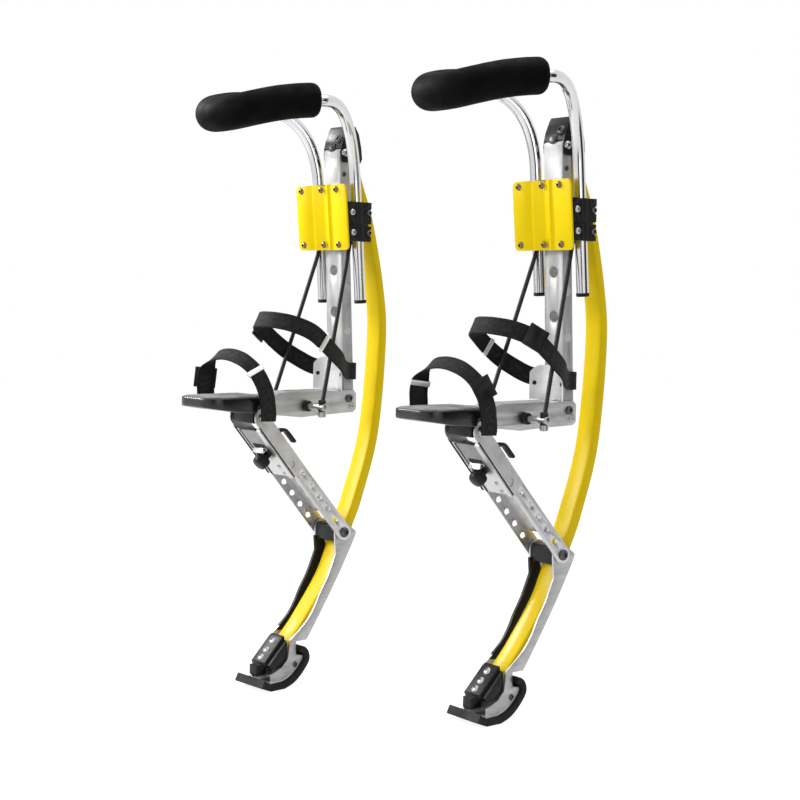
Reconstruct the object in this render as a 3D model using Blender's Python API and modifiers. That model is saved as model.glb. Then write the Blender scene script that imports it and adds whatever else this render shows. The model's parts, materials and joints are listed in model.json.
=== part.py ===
"""A pair of spring-driven jumping stilts, each built up from its separate pieces.

Metres, +Z up. The toes point to -Y and the wearer's left is +X. Every piece is shaped once
in the frame of one stilt: X across, Y to the back from the sole's front edge, Z up from the ground.
The left stilt stands a little behind the right one, and the right one is turned in a few degrees.
"""
import math

import bmesh
import bpy
import numpy
from mathutils import Matrix, Vector

for old in list(bpy.data.objects):
    bpy.data.objects.remove(old)

# How the pair stands
SPACING = 0.346          # across, between the middles of the two stilts
STAGGER = 0.153          # the left stilt stands this much further back
TURN_IN = math.radians(4.2)   # of the right stilt
TURN_Y = 0.090           # the right stilt is turned about this point of its depth
BAR_DROP = 0.0165        # the right knee bar is set this much lower in its clamps
CENTRE = Vector((-0.0019, -0.0765, 0.0))   # brings the middle of the whole to X = Y = 0

# Fits and sheet
GAP = 0.0004             # between pieces that touch
PLATE = 0.003            # wall of the hoof's cheeks, the arm and the shin plate
LINK_WALL = 0.002        # wall of the link's channels

# Joint axes, as (Y, Z) in the frame of one stilt
LINK_AXIS = Vector((-0.002, 0.432))
KNEE_AXIS = Vector((0.1665, 0.238))
SPRING_AXIS = Vector((0.1645, 0.851))
FLEX_AXIS = SPRING_AXIS + KNEE_AXIS - LINK_AXIS

# Half widths of the nested pieces, from the inside out
SPRING_HALF = 0.017
HOOF_HALF = 0.0268
LOWER_LINK_HALF = 0.0312
UPPER_LINK_HALF = 0.0335
ARM_HALF = 0.023
MAST_HALF = 0.0195

# Bars and tubes
TUBE_RADIUS = 0.0092
TUBE_X = 0.0458
TUBE_FOOT = Vector((0.1799, 0.627))     # (Y, Z) of the lower ends of the knee bar
TUBE_LEAN = math.radians(4.35)
FOAM_RADIUS = 0.0262
ROD_RADIUS = 0.0033
BAR_RADIUS = 0.005
BOLT_RADIUS = 0.005
SMALL_BOLT = 0.004
BOLT_SIDES = 12

# Foot
PLATE_TOP = 0.466
PLATE_BACK = 0.006
STEP_Z = 0.452           # underside of the plate's back and of the arm's tip
BLOCK_BACK = 0.0125      # of the pivot block below them
ARM_TOP = 0.470
STRAP_THICKNESS = 0.0026
STRAP_WIDTH = 0.027

# Axes of a flat outline: seen from the side, from above and from the front
SIDE = Matrix(((0, 0, 1), (1, 0, 0), (0, 1, 0))).to_4x4()
PLAN = Matrix.Identity(4)
FRONT = Matrix(((1, 0, 0), (0, 0, -1), (0, 1, 0))).to_4x4()

workshop = bpy.data.collections.new("workshop")
stilts = bpy.data.collections.new("jumping_stilts")
for group in (workshop, stilts):
    bpy.context.scene.collection.children.link(group)


# Tools for outlines

def smooth(points, steps):
    """Points on a smooth curve through the given points."""
    knots = [Vector(p) for p in points]
    knots = [2 * knots[0] - knots[1]] + knots + [2 * knots[-1] - knots[-2]]
    curve = []
    for a, b, c, d in zip(knots, knots[1:], knots[2:], knots[3:]):
        for i in range(steps):
            t = i / steps
            curve.append(0.5 * (2 * b + (c - a) * t + (2 * a - 5 * b + 4 * c - d) * t ** 2
                                + (3 * b - a - 3 * c + d) * t ** 3))
    curve.append(knots[-2].copy())
    return curve


def arc(centre, radius, start, end, steps):
    """Points on an arc, angles in degrees."""
    angles = [math.radians(start + (end - start) * i / steps) for i in range(steps + 1)]
    return [Vector((centre[0] + radius * math.cos(a), centre[1] + radius * math.sin(a))) for a in angles]


def beside(path, distances):
    """The path moved to its left by one distance for each point."""
    moved = []
    for i, p in enumerate(path):
        ahead = path[min(i + 1, len(path) - 1)] - path[max(i - 1, 0)]
        moved.append(p + Vector((-ahead.y, ahead.x)).normalized() * distances[i])
    return moved


def strip(path, thickness):
    """Closed outline of a strip along a path; thickness is a function of 0 to 1 along it."""
    half = [thickness(i / (len(path) - 1)) / 2 for i in range(len(path))]
    return beside(path, half) + beside(path, [-h for h in half])[::-1]


def rounded_rectangle(low, high, radius, steps=4):
    """Outline of a rectangle with round corners."""
    corners = ((high[0], high[1], 0), (low[0], high[1], 90), (low[0], low[1], 180), (high[0], low[1], 270))
    outline = []
    for x, y, start in corners:
        centre = (x - math.copysign(radius, x - (low[0] + high[0]) / 2),
                  y - math.copysign(radius, y - (low[1] + high[1]) / 2))
        outline += arc(centre, radius, start, start + 90, steps)
    return outline


# Tools for solids

def solid_from(mesh_maker):
    """A workshop object whose mesh is filled in by a bmesh function."""
    work = bmesh.new()
    mesh_maker(work)
    bmesh.ops.remove_doubles(work, verts=work.verts, dist=1e-6)
    bmesh.ops.recalc_face_normals(work, faces=work.faces)
    mesh = bpy.data.meshes.new("solid")
    work.to_mesh(mesh)
    work.free()
    solid = bpy.data.objects.new("solid", mesh)
    solid.hide_render = True
    solid.display_type = 'WIRE'
    workshop.objects.link(solid)
    return solid


def baked(source):
    """The evaluated mesh of a workshop object as a new solid; the source is removed."""
    bpy.context.view_layer.update()
    graph = bpy.context.evaluated_depsgraph_get()
    mesh = bpy.data.meshes.new_from_object(source.evaluated_get(graph))
    mesh.transform(source.matrix_world)
    bpy.data.objects.remove(source)

    def fill(work):
        work.from_mesh(mesh)
    return solid_from(fill)


def extruded(outline, width, axes=SIDE, middle=0.0):
    """A flat outline given a width along the third axis."""
    curve = bpy.data.curves.new("outline", 'CURVE')
    curve.dimensions = '2D'
    curve.fill_mode = 'BOTH'
    curve.extrude = width / 2
    spline = curve.splines.new('POLY')
    spline.points.add(len(outline) - 1)
    for point, p in zip(spline.points, outline):
        point.co = (p[0], p[1], 0, 1)
    spline.use_cyclic_u = True
    shape = bpy.data.objects.new("outline", curve)
    shape.matrix_world = axes @ Matrix.Translation((0, 0, middle))
    workshop.objects.link(shape)
    return baked(shape)


def tube(points, radius, end_radii=(), resolution=2):
    """A round tube along points; end_radii scale the radius of the outermost points."""
    curve = bpy.data.curves.new("tube", 'CURVE')
    curve.dimensions = '3D'
    curve.bevel_depth = radius
    curve.bevel_resolution = resolution
    curve.use_fill_caps = True
    spline = curve.splines.new('POLY')
    spline.points.add(len(points) - 1)
    for point, p in zip(spline.points, points):
        point.co = (*p, 1)
    for i, scale in enumerate(end_radii):
        spline.points[i].radius = scale
        spline.points[-1 - i].radius = scale
    shape = bpy.data.objects.new("tube", curve)
    workshop.objects.link(shape)
    return baked(shape)


def turned(profile, axes):
    """A turned piece: (radius, height) points from the top down, closed on the axis."""
    def fill(work):
        verts = [work.verts.new((r, 0, h)) for r, h in profile]
        for a, b in zip(verts, verts[1:]):
            work.edges.new((a, b))
    piece = solid_from(fill)
    screw = piece.modifiers.new("turn", 'SCREW')
    screw.steps = screw.render_steps = BOLT_SIDES
    screw.use_merge_vertices = True
    screw.merge_threshold = 0.00001
    piece.matrix_world = axes
    return baked(piece)


def cylinder(start, end, radius, sides=BOLT_SIDES):
    """A round bar between two points."""
    start, end = Vector(start), Vector(end)
    along = end - start
    place = Matrix.Translation((start + end) / 2) @ along.to_track_quat('Z', 'Y').to_matrix().to_4x4()

    def fill(work):
        bmesh.ops.create_cone(work, cap_ends=True, segments=sides, radius1=radius, radius2=radius,
                              depth=along.length, matrix=place)
    return solid_from(fill)


def box(low, high):
    """A box between two corners."""
    low, high = Vector(low), Vector(high)
    place = Matrix.Translation((low + high) / 2) @ Matrix.Diagonal((*(high - low), 1))

    def fill(work):
        bmesh.ops.create_cube(work, size=1, matrix=place)
    return solid_from(fill)


def combine(operation, solid, tools):
    """A Boolean of the solid with each tool in turn; the tools are used up."""
    for tool in tools:
        step = solid.modifiers.new("combine", 'BOOLEAN')
        step.operation = operation
        step.object = tool
        solid = baked(solid)
        bpy.data.objects.remove(tool)
    return solid


def cut(solid, *tools):
    return combine('DIFFERENCE', solid, tools)


def fuse(solid, *tools):
    return combine('UNION', solid, tools)


def common(solid, *tools):
    return combine('INTERSECT', solid, tools)


def across(axis, half, radius, sides=BOLT_SIDES):
    """A round bar across the stilt at a (Y, Z) axis."""
    return cylinder((-half, *axis), (half, *axis), radius, sides)


def headed_bolt(axis, grip, radius, head_radius, head_height):
    """A bolt across the stilt with a domed head on each side of its grip."""
    top = grip + head_height
    half = [(0, top), (head_radius * 0.8, top), (head_radius, grip), (radius, grip)]
    profile = half + [(r, -h) for r, h in half[::-1]]
    axes = Matrix.Translation((0, *axis)) @ Matrix.Rotation(math.radians(90), 4, 'Y')
    return turned(profile, axes)


def band(path, facings, width, thickness, closed=False):
    """A flat strap along a path; facings are the directions of its width, one for each point."""
    def fill(work):
        rings = []
        count = len(path)
        for i, p in enumerate(path):
            before = path[i - 1] if closed or i else path[0]
            after = path[(i + 1) % count] if closed or i < count - 1 else path[-1]
            along = (after - before).normalized()
            across_strap = (facings[i] - along * facings[i].dot(along)).normalized() * width / 2
            through = along.cross(across_strap).normalized() * thickness / 2
            corners = (across_strap + through, across_strap - through,
                       -across_strap - through, -across_strap + through)
            rings.append([work.verts.new(p + c) for c in corners])
        pairs = list(zip(rings, rings[1:]))
        if closed:
            pairs.append((rings[-1], rings[0]))
        else:
            work.faces.new(rings[0])
            work.faces.new(rings[-1])
        for ring, following in pairs:
            for k in range(4):
                work.faces.new((ring[k], ring[(k + 1) % 4], following[(k + 1) % 4], following[k]))
    return solid_from(fill)


# Materials and placing

def finish(name, colour, roughness, metallic):
    material = bpy.data.materials.new(name)
    material.use_nodes = True
    shader = material.node_tree.nodes["Principled BSDF"]
    shader.inputs["Base Color"].default_value = (*colour, 1)
    shader.inputs["Roughness"].default_value = roughness
    shader.inputs["Metallic"].default_value = metallic
    return material


ALUMINIUM = ((0.62, 0.63, 0.65), 0.35, 1.0)
CHROME = ((0.80, 0.80, 0.82), 0.08, 1.0)
DARK_STEEL = ((0.05, 0.05, 0.055), 0.40, 0.9)
STEEL = ((0.40, 0.40, 0.42), 0.30, 1.0)
YELLOW = ((0.83, 0.62, 0.01), 0.35, 0.0)
BLACK_PLASTIC = ((0.015, 0.015, 0.017), 0.50, 0.0)
BLACK_WEB = ((0.012, 0.012, 0.013), 0.85, 0.0)
BLACK_RUBBER = ((0.012, 0.012, 0.012), 0.75, 0.0)
BLACK_FOAM = ((0.010, 0.010, 0.010), 0.90, 0.0)

SIDES = {"left": 1, "right": -1}
AXES = {
    "frame": (0.0, 0.0),
    "link": LINK_AXIS,
    "knob": LINK_AXIS,
    "spring": SPRING_AXIS,
    "hoof": FLEX_AXIS,
    "bar": TUBE_FOOT,
}
TUBE_ALONG = Vector((0, -math.sin(TUBE_LEAN), math.cos(TUBE_LEAN)))
holders = {}
for side, sign in SIDES.items():
    stand = Matrix.Translation(CENTRE + Vector((sign * SPACING / 2, sign * STAGGER / 2, 0)))
    if side == "right":
        stand = stand @ Matrix.Translation((0, TURN_Y, 0)) @ Matrix.Rotation(TURN_IN, 4, 'Z')
        stand = stand @ Matrix.Translation((0, -TURN_Y, 0))
    for body, axis in AXES.items():
        spot = Vector((0, *axis))
        if (side, body) == ("right", "bar"):
            spot -= TUBE_ALONG * BAR_DROP
        holder = bpy.data.objects.new(f"{side}_{body}_axis", None)
        holder.matrix_world = stand @ Matrix.Translation(spot)
        stilts.objects.link(holder)
        holders[side, body] = holder


def place(solid, name, body, look, sides=("left", "right")):
    """One object for each stilt, sharing the solid's mesh, on the empty of the body it moves with."""
    mesh = solid.data
    mesh.name = name
    mesh.materials.append(finish(name, *look))
    mesh.shade_smooth()
    mesh.set_sharp_from_angle(angle=math.radians(35))
    bpy.data.objects.remove(solid)
    for side in sides:
        piece = bpy.data.objects.new(f"{side}_{name}", mesh)
        piece.parent = holders[side, body]
        axis = AXES[body]
        piece.location = (0, -axis[0], -axis[1])
        stilts.objects.link(piece)


# Leaf spring: a bow from the top bracket to the clamp in the hoof, thinner at its ends
SPRING_LINE = smooth([(0.1745, 0.884), (0.1885, 0.843), (0.2055, 0.797), (0.2265, 0.741), (0.2503, 0.638),
                      (0.2575, 0.552), (0.2430, 0.401), (0.2095, 0.295), (0.1866, 0.244), (0.1720, 0.2053),
                      (0.1480, 0.1608), (0.1032, 0.1026), (0.0745, 0.0716), (0.0470, 0.0390)], 3)
SPRING_SHARES = (0.0, 0.30, 0.40, 0.55, 0.66, 0.76, 1.0)      # of its length, from the top
SPRING_DEPTHS = (0.0125, 0.0160, 0.0180, 0.0205, 0.0195, 0.0150, 0.0125)


def spring_thickness(t):
    return float(numpy.interp(t, SPRING_SHARES, SPRING_DEPTHS))


def spring_solid(extra=0.0):
    outline = strip(SPRING_LINE, lambda t: spring_thickness(t) + 2 * extra)
    return extruded(outline, 2 * (SPRING_HALF + extra))


place(spring_solid(), "leaf_spring", "spring", YELLOW)

# Mast: a tapered rectangular tube, open below, round at the top where the bracket turns on it
MAST_TOP_RADIUS = 0.0085
MAST_WALL = 0.003
MAST_BOTTOM, BORE_TOP = 0.437, 0.828
MAST_FRONT, MAST_BACK = 0.1715, 0.1930      # at the bottom
mast_outline = [Vector((MAST_FRONT, MAST_BOTTOM)), Vector((MAST_BACK, MAST_BOTTOM))]
mast_outline += arc(SPRING_AXIS, MAST_TOP_RADIUS, 0, 180, 8)
mast = extruded(mast_outline, 2 * MAST_HALF)
bore_bottom = MAST_BOTTOM - 0.01
mast_bore = extruded([(MAST_FRONT + MAST_WALL, bore_bottom), (MAST_BACK - MAST_WALL, bore_bottom),
                      (SPRING_AXIS.x + MAST_TOP_RADIUS - MAST_WALL, BORE_TOP),
                      (SPRING_AXIS.x - MAST_TOP_RADIUS + MAST_WALL, BORE_TOP)], 2 * (MAST_HALF - MAST_WALL))
FRONT_HOLES = (0.530, 0.596, 0.663)
SIDE_HOLES = (0.500, 0.565, 0.634)
HEEL_BOLT_AXIS = (0.1800, 0.456)
mast_slope = (SPRING_AXIS.x - (MAST_FRONT + MAST_BACK) / 2) / (SPRING_AXIS.y - MAST_BOTTOM)


def mast_middle(z):
    return (MAST_FRONT + MAST_BACK) / 2 + (z - MAST_BOTTOM) * mast_slope


front_drills = [cylinder((0, 0.10, z), (0, 0.25, z), 0.0092) for z in FRONT_HOLES]
side_drills = [across((mast_middle(z), z), 0.05, 0.0045, 8) for z in SIDE_HOLES]
mast = cut(mast, mast_bore, *front_drills, *side_drills,
           across(SPRING_AXIS, 0.05, SMALL_BOLT + GAP), across(HEEL_BOLT_AXIS, 0.05, SMALL_BOLT + GAP))
place(mast, "mast", "frame", ALUMINIUM)

# Top bracket: a socket that turns on the mast's top and holds the spring's upper end
BRACKET_HALF = 0.0220
bracket = extruded([(0.1575, 0.841), (0.1572, 0.858), (0.1610, 0.872), (0.1685, 0.889), (0.1720, 0.894),
                    (0.1860, 0.894), (0.1940, 0.882), (0.1995, 0.860), (0.2015, 0.843), (0.1980, 0.836),
                    (0.1610, 0.836)], 2 * BRACKET_HALF)
mast_room = arc(SPRING_AXIS, 0.0105, 0, 180, 10)
mast_room += [Vector(p) for p in ((0.154, 0.8495), (0.140, 0.8495), (0.140, 0.820), (0.175, 0.820))]
bracket = cut(bracket, spring_solid(GAP), extruded(mast_room, 2 * (MAST_HALF + GAP)),
              across(SPRING_AXIS, 0.05, SMALL_BOLT + GAP))
place(bracket, "top_bracket", "spring", BLACK_PLASTIC)
place(headed_bolt(SPRING_AXIS, BRACKET_HALF + GAP, SMALL_BOLT, 0.0065, 0.0045),
      "top_hinge_bolt", "spring", STEEL)

# Foot arm: a hollow beam from the heel to the foot plate, slotted for the mast, its tip on the pivot block
ARM_FRONT, ARM_BACK = PLATE_BACK + GAP, 0.195
CROSS_BAR_AXIS = (0.0895, 0.447)
arm = extruded([(ARM_FRONT, PLATE_TOP), (0.030, PLATE_TOP), (0.042, ARM_TOP), (ARM_BACK - 0.006, ARM_TOP),
                (ARM_BACK, ARM_TOP - 0.006), (ARM_BACK, 0.438), (ARM_BACK - 0.006, 0.433), (0.120, 0.431),
                (0.081, 0.429), (0.045, 0.433), (BLOCK_BACK + GAP, 0.436), (BLOCK_BACK + GAP, STEP_Z),
                (ARM_FRONT, STEP_Z)], 2 * ARM_HALF)
arm = cut(arm,
          box((-MAST_HALF - GAP, 0.1670, 0.40), (MAST_HALF + GAP, 0.21, 0.50)),
          box((-ARM_HALF + PLATE, 0.050, 0.40), (ARM_HALF - PLATE, 0.158, ARM_TOP - PLATE)),
          across(CROSS_BAR_AXIS, 0.05, BAR_RADIUS + GAP),
          across(HEEL_BOLT_AXIS, 0.05, SMALL_BOLT + GAP))
place(arm, "foot_arm", "frame", ALUMINIUM)
place(headed_bolt(HEEL_BOLT_AXIS, ARM_HALF + GAP, SMALL_BOLT, 0.0065, 0.0045), "heel_bolt", "frame", STEEL)

# Cross bar with collars beside the arm and heads outside the eyes of the stays
EYE_X, EYE_HALF = 0.0632, 0.006
EYE_OUT = EYE_X + EYE_HALF
bar_half = [(0, EYE_OUT + 0.004), (0.0065, EYE_OUT + 0.004), (0.0065, EYE_OUT + GAP),
            (BAR_RADIUS, EYE_OUT + GAP), (BAR_RADIUS, 0.0305), (0.0085, 0.0295), (0.0085, ARM_HALF + GAP),
            (BAR_RADIUS, ARM_HALF + GAP)]
bar_axes = Matrix.Translation((0, *CROSS_BAR_AXIS)) @ Matrix.Rotation(math.radians(90), 4, 'Y')
place(turned(bar_half + [(r, -h) for r, h in bar_half[::-1]], bar_axes), "cross_bar", "frame", STEEL)

# Stays: thin rods from the clamps down to eyes on the cross bar
CLAMP_BOTTOM, CLAMP_TOP = 0.709, 0.771
STAY_TOP = Vector((0.0357, 0.1665, CLAMP_BOTTOM - GAP))
EYE_TOP, EYE_BOTTOM = 0.459, 0.433
bar_y = CROSS_BAR_AXIS[0]
for name, sign in (("inner", -1), ("outer", 1)):
    for side, mirror in SIDES.items():
        x = sign * mirror
        eye = cylinder((x * EYE_X, bar_y, EYE_BOTTOM), (x * EYE_X, bar_y, EYE_TOP), EYE_HALF)
        rod = cylinder((x * EYE_X, bar_y + 0.0005, EYE_TOP - 0.006),
                       (x * STAY_TOP.x, STAY_TOP.y, STAY_TOP.z), ROD_RADIUS, 10)
        trim = box((-0.1, 0.1, CLAMP_BOTTOM - GAP), (0.1, 0.2, CLAMP_BOTTOM + 0.02))
        stay = cut(fuse(eye, rod), across(CROSS_BAR_AXIS, 0.2, BAR_RADIUS + GAP), trim)
        place(stay, f"stay_rod_{name}", "frame", DARK_STEEL, (side,))

# Shin plate: a pressed plate with a shallow valley between two grooves, leaning with the shin
SHIN_HALF, SHIN_HEIGHT = 0.0620, 0.104
SHIN_LEAN = math.radians(5.0)
SHIN_MIDDLE = Vector((0, 0.1365, 0.7465))
SHIN_CORNER = 0.008
VALLEY, GROOVE = 0.0065, 0.0018
half_front = [(0.0, VALLEY), (0.021, 0.0), (0.024, GROOVE), (0.027, 0.0), (SHIN_HALF, 0.0)]
half_back = [(SHIN_HALF, PLATE), (0.021, PLATE), (0.0, PLATE + VALLEY)]
shin_outline = [(-x, y) for x, y in half_front[:0:-1]] + half_front
shin_outline += half_back + [(-x, y) for x, y in half_back[1::-1]]
shin_face = rounded_rectangle((-SHIN_HALF, -SHIN_HEIGHT / 2), (SHIN_HALF, SHIN_HEIGHT / 2), SHIN_CORNER)
shin = common(extruded(shin_outline, SHIN_HEIGHT, PLAN), extruded(shin_face, 0.1, FRONT))
shin.matrix_world = Matrix.Translation(SHIN_MIDDLE) @ Matrix.Rotation(SHIN_LEAN, 4, 'X')
place(baked(shin), "shin_plate", "frame", YELLOW)

# Clamp blocks that hold the tubes of the knee bar beside the mast
CLAMP_INSIDE, CLAMP_OUTSIDE, CLAMP_BACK = MAST_HALF + GAP, 0.0625, 0.1875
SPLIT, NOTCH = 0.735, 0.003
clamp_front = [(SHIN_MIDDLE.y + PLATE + 0.0011 - (z - SHIN_MIDDLE.z) * math.tan(SHIN_LEAN), z)
               for z in (CLAMP_BOTTOM, CLAMP_TOP)]
clamp_outline = [clamp_front[0], (CLAMP_BACK, CLAMP_BOTTOM), (CLAMP_BACK, SPLIT - NOTCH / 2),
                 (CLAMP_BACK - NOTCH, SPLIT), (CLAMP_BACK, SPLIT + NOTCH / 2), (CLAMP_BACK, CLAMP_TOP),
                 clamp_front[1]]


def upright(x, z):
    """A point on the middle of a tube of the knee bar at a height."""
    return Vector((x, TUBE_FOOT.x, TUBE_FOOT.y)) + TUBE_ALONG * ((z - TUBE_FOOT.y) / TUBE_ALONG.z)


for name, sign in (("inner", -1), ("outer", 1)):
    for side, mirror in SIDES.items():
        x = sign * mirror
        clamp = extruded(clamp_outline, CLAMP_OUTSIDE - CLAMP_INSIDE,
                         middle=x * (CLAMP_OUTSIDE + CLAMP_INSIDE) / 2)
        bore = cylinder(upright(x * TUBE_X, 0.6), upright(x * TUBE_X, 0.9), TUBE_RADIUS + GAP, 20)
        clamp = cut(clamp, bore)
        place(clamp, f"tube_clamp_{name}", "frame", BLACK_PLASTIC, (side,))

# Knee bar: two upright tubes bent forward into a sloping loop whose arms spread to the back
LOOP_RADIUS, LOOP_Y = 0.0658, 0.0009    # of its round front
LOOP_LEVEL = 0.9280                     # height above the centre of the round front
LOOP_SLOPE, LOOP_CROWN = 0.193, -1.36   # rise to the back, and how it flattens on the way
SPREAD = math.radians(18.9)             # of each arm
ARM_LENGTH = 0.0832
FRONT_TURN = math.pi / 2 - SPREAD       # of each half of the round front
FRONT_HALF = LOOP_RADIUS * FRONT_TURN
LOOP_HALF = FRONT_HALF + ARM_LENGTH
BEND_BOTTOM = 0.816                     # height where the straight tubes end
BEND_PULLS = (0.058, 0.4084)            # how far the bend follows the arm and the tube
FRONT_STEPS, ARM_STEPS, BEND_STEPS = 9, 4, 10


def on_loop(distance):
    """A point of the loop's left half, at a distance round from its front."""
    angle = min(distance / LOOP_RADIUS, FRONT_TURN)
    ahead = distance - angle * LOOP_RADIUS
    x = LOOP_RADIUS * math.sin(angle) + ahead * math.cos(angle)
    y = LOOP_Y - LOOP_RADIUS * math.cos(angle) + ahead * math.sin(angle)
    back = y - LOOP_Y
    return Vector((x, y, LOOP_LEVEL + back * LOOP_SLOPE + back ** 2 * LOOP_CROWN))


def both_halves(half):
    """A symmetrical line from its left half, which begins on the middle."""
    return half[::-1] + [Vector((-p.x, p.y, p.z)) for p in half[1:]]


def bend_point(t):
    """A point of the bend between the end of the arm and the top of the straight tube."""
    low = upright(TUBE_X, BEND_BOTTOM)
    return ((2 * t ** 3 - 3 * t ** 2 + 1) * arm_end + (t ** 3 - 2 * t ** 2 + t) * BEND_PULLS[0] * arm_along
            + (3 * t ** 2 - 2 * t ** 3) * low + (t ** 2 - t ** 3) * BEND_PULLS[1] * TUBE_ALONG)


front_round = [on_loop(FRONT_HALF * i / FRONT_STEPS) for i in range(FRONT_STEPS + 1)]
arm = [on_loop(FRONT_HALF + ARM_LENGTH * i / ARM_STEPS) for i in range(1, ARM_STEPS + 1)]
arm_end = arm[-1]
arm_along = (arm_end - on_loop(LOOP_HALF - ROD_RADIUS)).normalized()
bend = [bend_point(i / BEND_STEPS) for i in range(1, BEND_STEPS + 1)]
half_bar = front_round + arm + bend + [upright(TUBE_X, TUBE_FOOT.y)]
place(tube(both_halves(half_bar), TUBE_RADIUS), "knee_bar", "bar", CHROME)

# Foam sleeve round the loop, with rounded ends
FOAM_HALF = LOOP_HALF - 0.0055
END_RADII = (0.72, 0.93, 1.0)
END_STEPS = (0.0, 0.004, 0.010)
FACET_ROOM = 1.09        # keeps the flats of the bore clear of the corners of the bar
half_foam = front_round + arm[:-1] + [on_loop(FOAM_HALF - step) for step in END_STEPS[::-1]]
bore_line = both_halves(front_round + arm)
foam = cut(tube(both_halves(half_foam), FOAM_RADIUS, END_RADII, 3), tube(bore_line, TUBE_RADIUS * FACET_ROOM))
place(foam, "knee_foam", "bar", BLACK_FOAM)

# Foot plate: thick under the ball of the foot, stepped up at the back over the link's ends
PLATE_HALF, TOE_RADIUS = 0.048, 0.030
PLATE_FRONT = -0.1125
foot_plate = extruded([(PLATE_FRONT, PLATE_TOP), (PLATE_FRONT, STEP_Z), (-0.070, 0.445), (-0.025, 0.441),
                       (-0.022, STEP_Z), (PLATE_BACK, STEP_Z), (PLATE_BACK, PLATE_TOP)], 0.2)
half_plan = [Vector((PLATE_HALF, PLATE_BACK))]
half_plan += arc((PLATE_HALF - TOE_RADIUS, PLATE_FRONT + TOE_RADIUS), TOE_RADIUS, 0, -90, 6)
plan = half_plan + [Vector((-p.x, p.y)) for p in half_plan[::-1]]
place(common(foot_plate, extruded(plan, 2.0, PLAN)), "foot_plate", "frame", BLACK_PLASTIC)

# Pivot block under the plate, and the bolt that the link swings on
block = extruded(rounded_rectangle((-0.0165, 0.4235), (BLOCK_BACK, STEP_Z - GAP), 0.003, 3), 0.050)
place(cut(block, across(LINK_AXIS, 0.05, BOLT_RADIUS + GAP)), "pivot_block", "frame", BLACK_PLASTIC)
place(headed_bolt(LINK_AXIS, UPPER_LINK_HALF + GAP, BOLT_RADIUS, 0.009, 0.005),
      "link_pivot_bolt", "frame", STEEL)

# Link: two nested channels between the foot pivot and the knee, the upper open behind, the lower in front
link_length = (KNEE_AXIS - LINK_AXIS).length
link_along = (KNEE_AXIS - LINK_AXIS) / link_length
link_front = Vector((link_along.y, -link_along.x))


def link_points(pairs):
    """(Y, Z) of points given along the link from its pivot, and out of its front face."""
    return [LINK_AXIS + link_along * s + link_front * t for s, t in pairs]


UPPER_FACE, UPPER_BACK, UPPER_END = 0.0165, -0.010, 0.1125
round_end = 180 + math.degrees(math.asin(-UPPER_BACK / UPPER_FACE))
upper = [tuple(p) for p in arc((0, 0), UPPER_FACE, 90, round_end, 10)]
upper = extruded(link_points([(UPPER_END, UPPER_FACE)] + upper + [(UPPER_END, UPPER_BACK)]),
                 2 * UPPER_LINK_HALF)
WEB_START = 0.0125
upper_room = extruded(link_points([(-0.03, -0.03), (0.13, -0.03), (0.13, UPPER_FACE - LINK_WALL),
                                   (WEB_START, UPPER_FACE - LINK_WALL), (WEB_START, 0.03), (-0.03, 0.03)]),
                      2 * (UPPER_LINK_HALF - LINK_WALL))
KNOB_S, PIN_RADIUS = 0.068, 0.0035
pin_axis = Vector((0, *link_front))
knob_base = Vector((0, *link_points([(KNOB_S, UPPER_FACE)])[0]))


def pin_drill(extra):
    return cylinder(knob_base - pin_axis * 0.030, knob_base + pin_axis * 0.02, PIN_RADIUS + extra)


upper = cut(upper, upper_room, across(LINK_AXIS, 0.05, BOLT_RADIUS + GAP), pin_drill(GAP))
place(upper, "link_upper", "link", ALUMINIUM)

LOWER_FACE, LOWER_BACK = UPPER_FACE - LINK_WALL - 0.0003, -0.0097
LOWER_START, LOWER_WEB_END = 0.034, 0.222
knee_end = [(-0.0135, 0.0), (-0.0115, 0.0075), (-0.005, 0.0122), (0.003, 0.0125), (0.009, 0.0085),
            (LOWER_FACE, 0.0)]
lower = extruded(link_points([(LOWER_START, LOWER_FACE), (LOWER_START, LOWER_BACK)]
                             + [(link_length + s, t) for t, s in knee_end]), 2 * LOWER_LINK_HALF)
lower_room = extruded(link_points([(0.02, 0.03), (0.30, 0.03), (0.30, -0.03), (LOWER_WEB_END, -0.03),
                                   (LOWER_WEB_END, LOWER_BACK + LINK_WALL), (0.02, LOWER_BACK + LINK_WALL)]),
                      2 * (LOWER_LINK_HALF - LINK_WALL))
HOLE_RADIUS, WEB_HOLE_RADIUS = 0.0048, 0.0058
CHEEK_HOLES = [0.1235 + 0.0258 * i for i in range(5)]
OTHER_SHIFT = (0.0193, 0.005)            # of the holes in the cheek at -X
web_drills = []
for s in (0.136, 0.187):
    middle = Vector((0.015, *link_points([(s, LOWER_BACK)])[0]))
    web_drills.append(cylinder(middle - pin_axis * 0.008, middle + pin_axis * 0.008, WEB_HOLE_RADIUS, 8))
cheek_drills = []
for x, spots in ((0.05, [(s, 0.0) for s in CHEEK_HOLES]),
                 (-0.05, [(s + OTHER_SHIFT[0], OTHER_SHIFT[1]) for s in CHEEK_HOLES[:4]])):
    cheek_drills += [cylinder((0, *spot), (x, *spot), HOLE_RADIUS, 8) for spot in link_points(spots)]
lower = cut(lower, lower_room, across(KNEE_AXIS, 0.05, BOLT_RADIUS + GAP), pin_drill(GAP),
            *web_drills, *cheek_drills)
place(lower, "link_lower", "link", ALUMINIUM)
place(headed_bolt(KNEE_AXIS, LOWER_LINK_HALF + GAP, BOLT_RADIUS, 0.0085, 0.005), "knee_bolt", "link", STEEL)

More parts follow.
